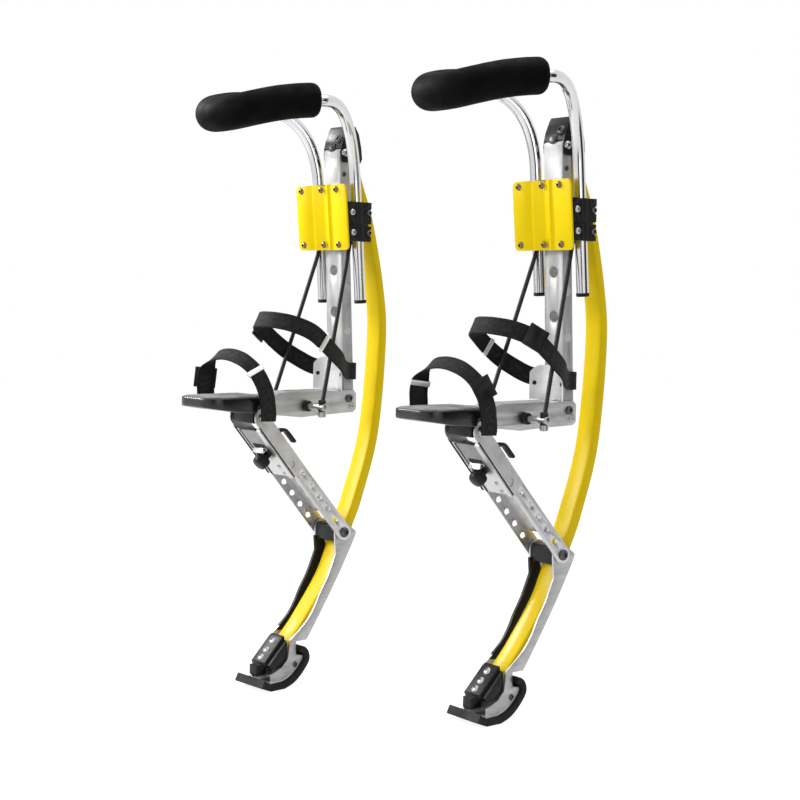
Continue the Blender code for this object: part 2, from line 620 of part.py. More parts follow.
# Lock knob with the pin that goes through both channels
KNOB_RADIUS, KNOB_HEIGHT = 0.0125, 0.023
knob_profile = [(0, KNOB_HEIGHT), (0.008, KNOB_HEIGHT), (0.011, KNOB_HEIGHT - 0.002),
                (KNOB_RADIUS, KNOB_HEIGHT - 0.006), (KNOB_RADIUS, 0.009), (0.011, 0.006), (0.006, 0.0055),
                (0.006, GAP), (PIN_RADIUS, GAP), (PIN_RADIUS, -0.0250), (0, -0.0260)]
knob_axes = Matrix.Translation(knob_base) @ pin_axis.to_track_quat('Z', 'X').to_matrix().to_4x4()
place(turned(knob_profile, knob_axes), "lock_knob", "knob", BLACK_PLASTIC)

# Sole: a rubber strip, flat under the hoof, tipped up at the front and curled up at the back
SOLE_THICKNESS, TIP_THICKNESS, SOLE_HALF = 0.010, 0.0136, 0.035
sole_back = smooth([(0.044, 0.005), (0.0605, 0.0112), (0.0755, 0.0228), (0.0888, 0.0395), (0.0885, 0.0505),
                    (0.0835, 0.0570), (0.0765, 0.0600)], 2)
sole_line = [Vector((0.0005, 0.0140)), Vector((0.018, 0.005))] + sole_back
sole = extruded(strip(sole_line, lambda t: SOLE_THICKNESS if t else TIP_THICKNESS), 2 * SOLE_HALF)
place(cut(sole, spring_solid(0.001)), "sole", "hoof", BLACK_RUBBER)

# Hoof frame: two cheeks on a base that follows the inside of the sole
base_line = beside(sole_line, [SOLE_THICKNESS / 2 + GAP + PLATE / 2] * len(sole_line))[1:-4]
base = extruded(strip(base_line, lambda t: PLATE), 0.058)
cheek_outline = [Vector(p) for p in ((0.0775, 0.087), (0.0955, 0.103), (0.1095, 0.122), (0.1205, 0.143),
                                     (0.1365, 0.169), (0.1525, 0.204), (0.1505, 0.228))]
cheek_outline += arc(KNEE_AXIS, 0.0165, 175, 40, 5)
cheek_outline += [Vector(p) for p in ((0.1915, 0.240), (0.194, 0.231), (0.1690, 0.186), (0.150, 0.155),
                                      (0.1278, 0.121), (0.1067, 0.090), (0.093, 0.071), (0.072, 0.071),
                                      (0.072, 0.050))]
cheek_outline += base_line[-2:0:-1]
cheek_outline += [Vector(p) for p in ((0.022, 0.012), (0.022, 0.024), (0.044, 0.033), (0.056, 0.045),
                                      (0.060, 0.0745))]
cheeks = [extruded(cheek_outline, PLATE, middle=x * (HOOF_HALF - PLATE / 2)) for x in (-1, 1)]
hoof = cut(fuse(base, *cheeks), across(KNEE_AXIS, 0.05, BOLT_RADIUS + GAP))
place(hoof, "hoof_frame", "hoof", ALUMINIUM)

# Knee block: a bush between the cheeks, in front of the spring
knee_block = extruded(rounded_rectangle((0.1520, 0.2225), (0.1755, 0.2505), 0.004, 3),
                      2 * (HOOF_HALF - PLATE - GAP))
knee_block = cut(knee_block, spring_solid(0.0008), across(KNEE_AXIS, 0.05, BOLT_RADIUS + GAP))
place(knee_block, "knee_block", "hoof", BLACK_PLASTIC)

# Clamp on the lower end of the spring: a body between the cheeks, a narrower plate in front and a lug below
CLAMP_WIDTH, FACE_WIDTH = 2 * (HOOF_HALF - PLATE - GAP), 0.032
clamp = extruded([(0.0212, 0.0388), (0.054, 0.0716), (0.056, 0.074), (0.0575, 0.047), (0.0475, 0.034),
                  (0.024, 0.033)], CLAMP_WIDTH)
face = extruded([(0.017, 0.043), (0.051, 0.077), (0.056, 0.080), (0.0575, 0.070), (0.024, 0.0365),
                 (0.017, 0.037)], FACE_WIDTH)
lug = box((-0.009, 0.007, 0.0225), (0.009, 0.026, 0.038))
place(cut(fuse(clamp, face, lug), spring_solid(GAP)), "spring_clamp", "hoof", BLACK_PLASTIC)

# Heel cup: a curved stop in front of the mast
CUP_RADIUS, CUP_HALF, CUP_TOP, CUP_BACK = 0.058, 0.0365, 0.523, 0.1660
CUP_WALL = 0.0025
cup_centre = (0, CUP_BACK - CUP_RADIUS)
cup_angle = math.degrees(math.asin(CUP_HALF / CUP_RADIUS))
cup_outer = arc(cup_centre, CUP_RADIUS, 90 - cup_angle, 90 + cup_angle, 10)
cup_inner = arc(cup_centre, CUP_RADIUS - CUP_WALL, 90 + cup_angle, 90 - cup_angle, 10)
cup = extruded(cup_outer + cup_inner, 0.2, PLAN, middle=0.5)
cup_face = rounded_rectangle((-CUP_HALF, 0.430), (CUP_HALF, CUP_TOP), 0.020, 5)
cup = common(cup, extruded(cup_face, 0.4, FRONT), box((-0.05, 0, ARM_TOP + GAP), (0.05, 0.2, 0.6)))
place(cup, "heel_cup", "frame", ALUMINIUM)

# Ankle strap: a loop round the mast and the heel cup, rising to the front outside the stays
half_loop = [(0.0, 0.1958, 0.500), (0.0165, 0.1958, 0.500), (0.0238, 0.190, 0.500), (0.0252, 0.175, 0.501),
             (0.0410, 0.154, 0.507), (0.0535, 0.136, 0.518), (0.0612, 0.114, 0.532), (0.064, 0.091, 0.549),
             (0.061, 0.068, 0.566), (0.045, 0.043, 0.578), (0.022, 0.0265, 0.583)]
loop_knots = half_loop + [(0.0, 0.0222, 0.584)] + [(-x, y, z) for x, y, z in half_loop[:0:-1]]
ankle_line = smooth(loop_knots + loop_knots[:1], 2)[:-1]


def ankle_facing(p):
    """Upright behind the heel, leaning back with the shin at the front."""
    lean_back = min(1.0, max(0.0, (0.150 - p.y) / 0.10)) * math.radians(28)
    return Vector((0, math.sin(lean_back), math.cos(lean_back)))


ankle_facings = [ankle_facing(p) for p in ankle_line]
place(band(ankle_line, ankle_facings, STRAP_WIDTH, STRAP_THICKNESS, closed=True),
      "heel_strap", "frame", BLACK_WEB)

# Instep strap: a slanting arch over the foot plate, its ends twisted to lie against the plate's sides
INSTEP_SKEW = math.radians(20)
END_SKEWS = (math.radians(-32), math.radians(-5))    # of the ends at -X and at +X
INSTEP_LEAN = math.radians(35)
instep_line = smooth([(0.0550, -0.010, 0.4290), (0.0562, -0.010, 0.4380), (0.0572, -0.012, 0.450),
                      (0.0585, -0.016, 0.468), (0.0575, -0.023, 0.487), (0.050, -0.031, 0.506),
                      (0.034, -0.038, 0.520), (0.012, -0.042, 0.528), (-0.012, -0.045, 0.530),
                      (-0.034, -0.047, 0.525), (-0.050, -0.048, 0.509), (-0.0570, -0.048, 0.488),
                      (-0.0576, -0.047, 0.470), (-0.0574, -0.046, 0.4480)], 2)


def instep_facing(p):
    """Level beside the foot, its front edge lower over the instep."""
    tip = min(1.0, max(0.0, (p.z - 0.480) / 0.045)) * INSTEP_LEAN
    untwisted = min(1.0, max(0.0, (p.z - 0.500) / 0.028))
    end_skew = END_SKEWS[p.x > 0]
    skew = end_skew + untwisted * (INSTEP_SKEW - end_skew)
    return Matrix.Rotation(skew, 3, 'Z') @ Vector((0, -math.cos(tip), -math.sin(tip)))


place(band(instep_line, [instep_facing(p) for p in instep_line], STRAP_WIDTH, STRAP_THICKNESS),
      "toe_strap", "frame", BLACK_WEB)

# Buckles: pads on the outer side of each strap
BUCKLE_WIDTH, BUCKLE_THICKNESS, BUCKLE_LENGTH = 0.034, 0.005, 0.032
BUCKLE_LIFT = 0.0026     # keeps the straight pad clear of the curved strap


def buckle(line, facing, sign, target):
    """A pad on the outside of a strap, at the point of its line nearest to the target."""
    middle = min(line, key=lambda p: (p - target).length)
    i = line.index(middle)
    along = (line[i + 1] - line[i - 1]).normalized()
    width = facing(middle)
    width = (width - along * width.dot(along)).normalized()
    out = along.cross(width).normalized()
    if out.x * sign < 0:
        out = -out
    pad = middle + out * ((STRAP_THICKNESS + BUCKLE_THICKNESS) / 2 + BUCKLE_LIFT)
    ends = [pad - along * BUCKLE_LENGTH / 2, pad + along * BUCKLE_LENGTH / 2]
    return band(ends, [width, width], BUCKLE_WIDTH, BUCKLE_THICKNESS)


for side, sign in SIDES.items():
    ankle_pad = buckle(ankle_line, ankle_facing, sign, Vector((sign * 0.061, 0.068, 0.566)))
    place(ankle_pad, "heel_buckle", "frame", BLACK_PLASTIC, (side,))
    instep_pad = buckle(instep_line, instep_facing, sign, Vector((sign * 0.057, -0.035, 0.492)))
    place(instep_pad, "toe_buckle", "frame", BLACK_PLASTIC, (side,))
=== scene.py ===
"""The looks of a pair of jumping stilts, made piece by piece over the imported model.

Metres, +Z up, toes to -Y. Each piece is shaped in the frame of one stilt, X across, Y to the back from the
sole's front edge and Z up from the ground, and is then set on the left and on the right stilt.
"""
import json
import math

import bmesh
import bpy
import numpy
from mathutils import Matrix, Vector

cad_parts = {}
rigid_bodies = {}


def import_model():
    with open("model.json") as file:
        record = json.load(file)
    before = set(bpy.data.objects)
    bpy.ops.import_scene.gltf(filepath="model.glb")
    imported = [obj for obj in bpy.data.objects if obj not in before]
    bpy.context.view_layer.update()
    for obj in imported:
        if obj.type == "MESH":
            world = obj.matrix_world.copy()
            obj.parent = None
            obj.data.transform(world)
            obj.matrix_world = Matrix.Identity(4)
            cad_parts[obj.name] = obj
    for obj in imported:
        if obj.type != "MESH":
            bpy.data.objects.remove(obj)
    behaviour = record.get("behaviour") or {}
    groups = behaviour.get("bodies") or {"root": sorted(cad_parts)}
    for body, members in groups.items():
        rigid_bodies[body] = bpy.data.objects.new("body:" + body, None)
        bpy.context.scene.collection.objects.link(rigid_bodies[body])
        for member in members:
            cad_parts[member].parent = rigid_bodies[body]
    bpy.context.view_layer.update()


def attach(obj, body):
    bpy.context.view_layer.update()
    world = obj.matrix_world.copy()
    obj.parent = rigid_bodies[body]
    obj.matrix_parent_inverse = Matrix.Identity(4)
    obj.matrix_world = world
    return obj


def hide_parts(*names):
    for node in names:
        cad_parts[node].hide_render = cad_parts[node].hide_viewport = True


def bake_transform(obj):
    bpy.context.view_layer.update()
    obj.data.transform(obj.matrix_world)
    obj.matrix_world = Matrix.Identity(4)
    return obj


for old in list(bpy.data.objects):
    bpy.data.objects.remove(old)
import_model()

# How the pair stands: the left stilt a little behind the right one, which is turned in a few degrees and
# has its knee bar set lower in the clamps.
SPACING, STAGGER = 0.346, 0.153
TURN_IN, TURN_Y = math.radians(4.2), 0.090
CENTRE = Vector((-0.0019, -0.0765, 0.0))
SIDES = {"left": 1, "right": -1}
stands = {side: Matrix.Translation(CENTRE + Vector((sign * SPACING / 2, sign * STAGGER / 2, 0)))
          for side, sign in SIDES.items()}
stands["right"] = (stands["right"] @ Matrix.Translation((0, TURN_Y, 0)) @ Matrix.Rotation(TURN_IN, 4, 'Z')
                   @ Matrix.Translation((0, -TURN_Y, 0)))

# Camera: a short telephoto lens a little over two metres off, at the left front of the stilts and about two
# thirds of their height up. The view transform is the plain one.
AZIMUTH, ELEVATION, ROLL = (math.radians(a) for a in (51.59, 4.04, -0.92))
DISTANCE, LENS, SENSOR = 2.266, 67.86, 36.0
AIM_HEIGHT, AIM_SHIFT = 0.4677, 0.0675
towards = Vector((math.sin(AZIMUTH) * math.cos(ELEVATION), -math.cos(AZIMUTH) * math.cos(ELEVATION),
                  math.sin(ELEVATION)))
level = Vector((math.cos(AZIMUTH), math.sin(AZIMUTH), 0))
above = towards.cross(level)
view = Matrix((level * math.cos(ROLL) - above * math.sin(ROLL),
               level * math.sin(ROLL) + above * math.cos(ROLL), towards)).transposed().to_4x4()
view.translation = CENTRE + Vector((0, 0, AIM_HEIGHT)) + level * AIM_SHIFT + towards * DISTANCE


def new_object(name, data):
    """An object in the scene that shows some data."""
    made = bpy.data.objects.new(name, data)
    bpy.context.scene.collection.objects.link(made)
    return made


camera = new_object("camera", bpy.data.cameras.new("camera"))
camera.data.lens, camera.data.sensor_width = LENS, SENSOR
camera.matrix_world = view
bpy.context.scene.camera = camera
bpy.context.scene.view_settings.view_transform = 'Standard'


# Studio: a white floor and surround, broad soft lamps, and dark cards out of view that give the polished
# metal its darker edges. The floor keeps a faint shadow.
def plug(tree, node, inputs):
    """Sets inputs of a node: an output of another node is linked, anything else is a value."""
    for socket, value in inputs.items():
        if isinstance(value, bpy.types.NodeSocket):
            tree.links.new(value, node.inputs[socket])
        else:
            node.inputs[socket].default_value = value
    return node


def add_node(tree, kind, inputs, **settings):
    """A new node with its settings and its inputs."""
    node = tree.nodes.new(kind)
    for label, value in settings.items():
        setattr(node, label, value)
    return plug(tree, node, inputs)


def sums(tree, operation, a, b=0.0):
    """The result of a Math node on two values."""
    return add_node(tree, 'ShaderNodeMath', {0: a, 1: b}, operation=operation).outputs[0]


def new_material(name, **plain):
    """A material, its node tree and its shader, with plain values on the shader's own sockets."""
    material = bpy.data.materials.new(name)
    material.use_nodes = True
    tree = material.node_tree
    values = {label.replace("_", " "): value for label, value in plain.items()}
    return material, tree, plug(tree, tree.nodes["Principled BSDF"], values)


def flat_card(name, corners, material):
    """A flat sheet of the studio."""
    mesh = bpy.data.meshes.new(name)
    mesh.from_pydata([Vector(c) for c in corners], [], [range(len(corners))])
    mesh.materials.append(material)
    card = new_object(name, mesh)
    return card


def background_share(tree):
    """1 where the camera, a reflection or a clear piece shows the background itself."""
    rays = tree.nodes.new('ShaderNodeLightPath').outputs
    either = sums(tree, 'MAXIMUM', rays["Is Camera Ray"], rays["Is Glossy Ray"])
    return sums(tree, 'MAXIMUM', either, rays["Is Transmission Ray"])


FLOOR_HALF, SHADOW_SHARE, FLOOR_GLOW = 6.0, 0.35, 1.36
floor_paint, tree, shader = new_material("floor_paint", Base_Color=(0.80, 0.80, 0.80, 1), Roughness=0.9)
white_light = add_node(tree, 'ShaderNodeEmission', {"Strength": FLOOR_GLOW})
share = sums(tree, 'MULTIPLY', background_share(tree), 1 - SHADOW_SHARE)
mix = add_node(tree, 'ShaderNodeMixShader', {0: share, 1: shader.outputs[0], 2: white_light.outputs[0]})
plug(tree, tree.nodes["Material Output"], {"Surface": mix.outputs[0]})
flat_card("floor", [(x * FLOOR_HALF, y * FLOOR_HALF, 0) for x, y in ((-1, -1), (1, -1), (1, 1), (-1, 1))],
          floor_paint)

AMBIENT = 0.42
world = bpy.data.worlds.new("surround")
world.use_nodes = True
bpy.context.scene.world = world
tree = world.node_tree
tone = add_node(tree, 'ShaderNodeMix', {0: background_share(tree), 2: AMBIENT, 3: 1.0}, data_type='FLOAT')
plug(tree, tree.nodes["Background"], {"Color": (1, 1, 1, 1), "Strength": tone.outputs[0]})

card_black = new_material("card_black", Base_Color=(0.02, 0.02, 0.022, 1), Roughness=1.0)[0]
CARDS = {
    "card_right": [(2.6, 0.4, -0.2), (2.2, 2.6, -0.2), (2.2, 2.6, 2.4), (2.6, 0.4, 2.4)],
    "card_left": [(-2.6, 0.2, 0.0), (-2.4, 1.6, 0.0), (-2.4, 1.6, 2.2), (-2.6, 0.2, 2.2)],
    "card_camera": [(1.5, -2.6, 0.2), (2.6, -1.9, 0.2), (2.6, -1.9, 2.4), (1.5, -2.6, 2.4)],
}
for name, corners in CARDS.items():
    card = flat_card(name, corners, card_black)
    card.visible_camera = card.visible_diffuse = card.visible_shadow = False

LAMP_AIM = Vector((0, 0, 0.5))
LAMPS = {     # place, watts, size
    "key_lamp": ((-1.7, -2.2, 1.7), 62.0, 1.2),
    "fill_lamp": ((2.6, -1.0, 1.2), 6.0, 1.2),
    "top_lamp": ((0.2, 0.4, 3.0), 26.0, 2.0),
    "side_lamp": ((-2.1, -0.75, 1.85), 38.0, 0.5),
}
for name, (place, watts, size) in LAMPS.items():
    lamp = new_object(name, bpy.data.lights.new(name, 'AREA'))
    lamp.data.energy, lamp.data.size = watts, size
    aim = (Vector(place) - LAMP_AIM).to_track_quat('Z', 'Y').to_matrix().to_4x4()
    lamp.matrix_world = Matrix.Translation(place) @ aim


# Leaf spring: a bow of unidirectional glass fibre in yellow resin, ground to a thinner section at its ends.
# It is swept along its middle line with eased edges.
def smooth(points, steps):
    """Points on a smooth curve through the given points."""
    knots = [Vector(p) for p in points]
    knots = [2 * knots[0] - knots[1]] + knots + [2 * knots[-1] - knots[-2]]
    curve = []
    for a, b, c, d in zip(knots, knots[1:], knots[2:], knots[3:]):
        for i in range(steps):
            t = i / steps
            curve.append(0.5 * (2 * b + (c - a) * t + (2 * a - 5 * b + 4 * c - d) * t ** 2
                                + (3 * b - a - 3 * c + d) * t ** 3))
    curve.append(knots[-2].copy())
    return curve


def arc(centre, radius, start, end, steps):
    """Points on an arc, angles in degrees."""
    angles = [math.radians(start + (end - start) * i / steps) for i in range(steps + 1)]
    return [Vector((centre[0] + radius * math.cos(a), centre[1] + radius * math.sin(a))) for a in angles]


def rounded_rectangle(low, high, radius, steps=6):
    """Outline of a rectangle with round corners."""
    corners = ((high[0], high[1], 0), (low[0], high[1], 90), (low[0], low[1], 180), (high[0], low[1], 270))
    outline = []
    for x, y, start in corners:
        centre = (x - math.copysign(radius, x - (low[0] + high[0]) / 2),
                  y - math.copysign(radius, y - (low[1] + high[1]) / 2))
        outline += arc(centre, radius, start, start + 90, steps)
    return outline


def crowned(section, corner_steps, fall, parts=8):
    """A rounded rectangle whose two broad faces are slightly domed across their width."""
    count = corner_steps + 1
    points = []
    for first in (0, 2 * count):
        points += section[first:first + count]
        a, b = section[first + count - 1], section[first + count]
        points += [a.lerp(b, i / parts) for i in range(1, parts)]
        points += section[first + count:first + 2 * count]
    return [Vector((p.x, p.y - math.copysign(fall * p.x ** 2, p.y))) for p in points]


def workpiece(mesh_maker):
    """An object on the bench whose mesh is filled in by a bmesh function."""
    work = bmesh.new()
    mesh_maker(work)
    bmesh.ops.remove_doubles(work, verts=work.verts, dist=1e-6)
    bmesh.ops.recalc_face_normals(work, faces=work.faces)
    mesh = bpy.data.meshes.new("bench")
    work.to_mesh(mesh)
    work.free()
    return new_object("bench", mesh)


def side_line(points, x=0.0):
    """Points of a side view, (Y, Z), set in space."""
    return [Vector((x, *p)) for p in points]


def line_frames(line, facings, closed=False):
    """At each point of a line: its directions along, across and outward; facings say which way is across."""
    count, frames = len(line), []
    for i, facing in enumerate(facings):
        before = line[i - 1] if closed or i else line[0]
        after = line[(i + 1) % count] if closed or i < count - 1 else line[-1]
        along = (after - before).normalized()
        wide = (facing - along * facing.dot(along)).normalized()
        frames.append((along, wide, along.cross(wide)))
    return frames


def bridged(work, rings, closed=False):
    """Faces from each ring to the next, flat at the ends unless the row is closed.
    Each comes with the number of its ring and of two points on it."""
    if not closed:
        work.faces.new(rings[0])
        work.faces.new(rings[-1])
    sides = []
    for i in range(len(rings) if closed else len(rings) - 1):
        ring, after = rings[i], rings[(i + 1) % len(rings)]
        for k in range(len(ring)):
            n = (k + 1) % len(ring)
            sides.append((work.faces.new((ring[k], ring[n], after[n], after[k])), i, k, n))
    return sides


def swept(path, width, depths, corner, facings=None, closed=False, corner_steps=4, crown=0.0):
    """A bar of rounded rectangular section along a path, with one depth or one for each point.
    Facings are the directions of its width, across the stilt if none are given.
    Its UV map holds metres along the path and across the width."""
    facings = facings or [Vector((1, 0, 0))] * len(path)
    depths = [depths] * len(path) if isinstance(depths, float) else depths
    run = [0.0, *numpy.cumsum([(b - a).length for a, b in zip(path, path[1:] + path[:1])])]

    def fill(work):
        uv = work.loops.layers.uv.new("along_across")
        rings, section = [], []
        for p, (along, wide, out), depth in zip(path, line_frames(path, facings, closed), depths):
            half = (width / 2, depth / 2)
            section = rounded_rectangle((-half[0], -half[1]), half, corner, corner_steps)
            if crown:
                section = crowned(section, corner_steps, crown / half[0] ** 2)
            rings.append([work.verts.new(p + wide * s.x + out * s.y) for s in section])
        for face, i, k, n in bridged(work, rings, closed):
            spots = ((run[i], k), (run[i], n), (run[i + 1], n), (run[i + 1], k))
            for loop, (u, s) in zip(face.loops, spots):
                loop[uv].uv = (u, section[s].x)
    return workpiece(fill)


def settle(piece, side, body):
    """Gives a piece the body it rides on."""
    if body:
        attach(piece, body if body == "frame" else f"{side}_{body}")


def set_on_stilts(bench, name, body, material, sides=("left", "right"), sharp=38.0, drop=None,
                  trim=False):
    """Sets a bench piece on each stilt and returns the pieces. Each takes the place of the CAD node of its
    name, unless it is trim."""
    pieces = {}
    for side in sides:
        mesh = bench.data.copy()
        mesh.name = f"{side}.{name}"
        mesh.transform(stands[side] @ Matrix.Translation(drop[side]) if drop else stands[side])
        mesh.materials.clear()
        mesh.materials.append(material)
        mesh.shade_smooth()
        mesh.set_sharp_from_angle(angle=math.radians(sharp))
        pieces[side] = new_object(f"{side}.{name}", mesh)
        if not trim:
            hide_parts(f"{side}_{name}")
        settle(pieces[side], side, body)
    bpy.data.objects.remove(bench)
    return pieces


def node_group(name, inputs, outputs, kind='ShaderNodeTree'):
    """A node group with named sockets: the group, the sockets it is given, and the node for its results."""
    group = bpy.data.node_groups.new(name, kind)
    for way, sockets in (('INPUT', inputs), ('OUTPUT', outputs)):
        for label, socket in sockets.items():
            group.interface.new_socket(label, in_out=way, socket_type='NodeSocket' + socket)
    return group, group.nodes.new('NodeGroupInput').outputs, group.nodes.new('NodeGroupOutput')


def stretched_range(tree, value, low, high, new_low, new_high):
    """A value mapped from one range to another."""
    return add_node(tree, 'ShaderNodeMapRange', {"Value": value, "From Min": low, "From Max": high,
                                                 "To Min": new_low, "To Max": new_high}).outputs["Result"]


def noise(tree, place, scale, detail=2.0):
    """Cloudy noise at a place."""
    inputs = {"Vector": place, "Scale": scale, "Detail": detail}
    return add_node(tree, 'ShaderNodeTexNoise', inputs).outputs["Fac"]


def shaded(tree, colour, factor):
    """A colour made darker or paler by a factor."""
    return add_node(tree, 'ShaderNodeVectorMath', {0: colour, "Scale": factor}, operation='SCALE').outputs[0]


def bumps(tree, height, strength, distance):
    """A normal that follows a height."""
    inputs = {"Height": height, "Strength": strength, "Distance": distance}
    return add_node(tree, 'ShaderNodeBump', inputs).outputs[0]


# Fine streaks along one direction, with cloudy patches of handling: drawn metal, fibre and paint all use it
SKIN = {"Colour": 'Color', "Roughness": 'Float', "Normal": 'Vector'}
SKIN_SOCKETS = {"Colour": "Base Color", "Roughness": "Roughness", "Normal": "Normal"}
streaks, given, result = node_group("streaks_and_handling", {
    "Colour": 'Color', "Roughness": 'Float', "Streaks": 'Vector', "Contrast": 'Float', "Depth": 'Float'},
    SKIN)
spot = streaks.nodes.new('ShaderNodeTexCoord').outputs["Object"]
stretch = add_node(streaks, 'ShaderNodeMapping', {"Vector": spot, "Scale": given["Streaks"]})
lines, clouds = noise(streaks, stretch.outputs[0], 1.0, 5.0), noise(streaks, spot, 34.0, 4.0)
both = sums(streaks, 'ADD', stretched_range(streaks, lines, 0.3, 0.7, -0.5, 0.5),
            stretched_range(streaks, clouds, 0.3, 0.7, -0.5, 0.5))
shade = sums(streaks, 'ADD', sums(streaks, 'MULTIPLY', both, given["Contrast"]), 1.0)
rougher = stretched_range(streaks, clouds, 0.35, 0.7, 0.8, 1.35)
plug(streaks, result, {"Colour": shaded(streaks, given["Colour"], shade),
                       "Roughness": sums(streaks, 'MULTIPLY', rougher, given["Roughness"]),
                       "Normal": bumps(streaks, lines, given["Depth"], 0.0003)})


def skinned(name, group, values, **plain):
    """A material with a node group as its skin; plain gives other sockets of the shader."""
    material, tree, shader = new_material(name, **plain)
    skin = add_node(tree, 'ShaderNodeGroup', values, node_tree=group).outputs
    plug(tree, shader, {socket: skin[label] for label, socket in SKIN_SOCKETS.items() if label in skin})
    return material


def streaked(name, colour, roughness, metallic, direction, contrast, depth, **plain):
    """A material with streaks along a direction."""
    return skinned(name, streaks, {"Colour": (*colour, 1), "Roughness": roughness, "Streaks": direction,
                                   "Contrast": contrast, "Depth": depth}, Metallic=metallic, **plain)


SPRING_HALF = 0.017
SPRING_LINE = smooth([(0.1745, 0.884), (0.1885, 0.843), (0.2055, 0.797), (0.2265, 0.741), (0.2503, 0.638),
                      (0.2575, 0.552), (0.2430, 0.401), (0.2095, 0.295), (0.1866, 0.244), (0.1720, 0.2053),
                      (0.1480, 0.1608), (0.1032, 0.1026), (0.0745, 0.0716), (0.0470, 0.0390)], 10)
SPRING_SHARES = (0.0, 0.30, 0.40, 0.55, 0.66, 0.76, 1.0)
SPRING_DEPTHS = (0.0125, 0.0160, 0.0180, 0.0205, 0.0195, 0.0150, 0.0125)
SPRING_EDGE, SPRING_CROWN = 0.0022, 0.0014
yellow_fibre = streaked("yellow_glass_fibre", (0.82, 0.592, 0.0), 0.42, 0.0, (700, 700, 9), 0.05, 0.06,
                        Specular_IOR_Level=0.07, Coat_Weight=0.22, Coat_Roughness=0.20)
shares = [i / (len(SPRING_LINE) - 1) for i in range(len(SPRING_LINE))]
depths = numpy.interp(shares, SPRING_SHARES, SPRING_DEPTHS)
spring_path = side_line(SPRING_LINE)
spring = swept(spring_path, 2 * SPRING_HALF, depths, SPRING_EDGE, crown=SPRING_CROWN)
for side, piece in set_on_stilts(spring, "leaf_spring", None, yellow_fibre).items():
    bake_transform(piece)


# Mast: a tapered rectangular tube of polished aluminium behind the shin, open below and round at the top,
# drilled through the front for lightness and through the sides for bolts.
SIDE = Matrix(((0, 0, 1), (1, 0, 0), (0, 1, 0))).to_4x4()
PLAN = Matrix.Identity(4)
FRONT = Matrix(((1, 0, 0), (0, 0, -1), (0, 1, 0))).to_4x4()


def baked(source):
    """The evaluated mesh of a bench object as a new bench piece; the source is removed."""
    bpy.context.view_layer.update()
    graph = bpy.context.evaluated_depsgraph_get()
    mesh = bpy.data.meshes.new_from_object(source.evaluated_get(graph))
    mesh.transform(source.matrix_world)
    bpy.data.objects.remove(source)
    return workpiece(lambda work: work.from_mesh(mesh))


def extruded(outline, width, axes=SIDE, middle=0.0):
    """A flat outline given a width along the third axis."""
    curve = bpy.data.curves.new("outline", 'CURVE')
    curve.dimensions, curve.fill_mode, curve.extrude = '2D', 'BOTH', width / 2
    spline = curve.splines.new('POLY')
    spline.points.add(len(outline) - 1)
    for point, p in zip(spline.points, outline):
        point.co = (p[0], p[1], 0, 1)
    spline.use_cyclic_u = True
    shape = new_object("outline", curve)
    shape.matrix_world = axes @ Matrix.Translation((0, 0, middle))
    return baked(shape)


def cylinder(start, end, radius, sides=40):
    """A round bar between two points."""
    start, end = Vector(start), Vector(end)
    along = end - start
    spot = Matrix.Translation((start + end) / 2) @ along.to_track_quat('Z', 'Y').to_matrix().to_4x4()
    return workpiece(lambda work: bmesh.ops.create_cone(
        work, cap_ends=True, segments=sides, radius1=radius, radius2=radius, depth=along.length, matrix=spot))


def across(axis, half, radius, sides=40):
    """A round bar across the stilt at a (Y, Z) axis."""
    return cylinder((-half, *axis), (half, *axis), radius, sides)


GAP, THROUGH = 0.0004, 0.05


def bolt_hole(axis, radius):
    """A drill across the stilt for a bolt, with clearance."""
    return across(axis, THROUGH, radius + GAP)


def block(low, high):
    """A squared block between two corners."""
    low, high = Vector(low), Vector(high)
    spot = Matrix.Translation((low + high) / 2) @ Matrix.Diagonal((*(high - low), 1))
    return workpiece(lambda work: bmesh.ops.create_cube(work, size=1, matrix=spot))


def combine(operation, piece, tools):
    """A Boolean of a bench piece with each tool in turn; the tools are used up."""
    for tool in tools:
        step = piece.modifiers.new("combine", 'BOOLEAN')
        step.operation, step.object = operation, tool
        piece = baked(piece)
        bpy.data.objects.remove(tool)
    return piece


def cut(piece, *tools):
    return combine('DIFFERENCE', piece, tools)


def fuse(piece, *tools):
    return combine('UNION', piece, tools)


def common(piece, *tools):
    return combine('INTERSECT', piece, tools)


def eased(piece, width, angle=32.0, segments=2):
    """A bench piece with its sharp edges rounded over."""
    edge = piece.modifiers.new("ease", 'BEVEL')
    edge.width, edge.segments = width, segments
    edge.limit_method, edge.angle_limit = 'ANGLE', math.radians(angle)
    edge.miter_outer = 'MITER_ARC'
    return baked(piece)


SPRING_AXIS = Vector((0.1645, 0.851))
MAST_HALF, MAST_WALL, MAST_TOP_RADIUS = 0.0195, 0.003, 0.0085
MAST_BOTTOM, BORE_TOP = 0.437, 0.828
MAST_FRONT, MAST_BACK = 0.1715, 0.1930
SMALL_BOLT = 0.004
HEEL_BOLT_AXIS = (0.1800, 0.456)
mast_slope = (SPRING_AXIS.x - (MAST_FRONT + MAST_BACK) / 2) / (SPRING_AXIS.y - MAST_BOTTOM)
mast_outline = [Vector((MAST_FRONT, MAST_BOTTOM)), Vector((MAST_BACK, MAST_BOTTOM))]
mast_outline += arc(SPRING_AXIS, MAST_TOP_RADIUS, 0, 180, 24)
bore_bottom = MAST_BOTTOM - 0.01
mast_bore = extruded([(MAST_FRONT + MAST_WALL, bore_bottom), (MAST_BACK - MAST_WALL, bore_bottom),
                      (SPRING_AXIS.x + MAST_TOP_RADIUS - MAST_WALL, BORE_TOP),
                      (SPRING_AXIS.x - MAST_TOP_RADIUS + MAST_WALL, BORE_TOP)], 2 * (MAST_HALF - MAST_WALL))
FRONT_HOLES, SIDE_HOLES = (0.530, 0.596, 0.663), (0.500, 0.565, 0.634)
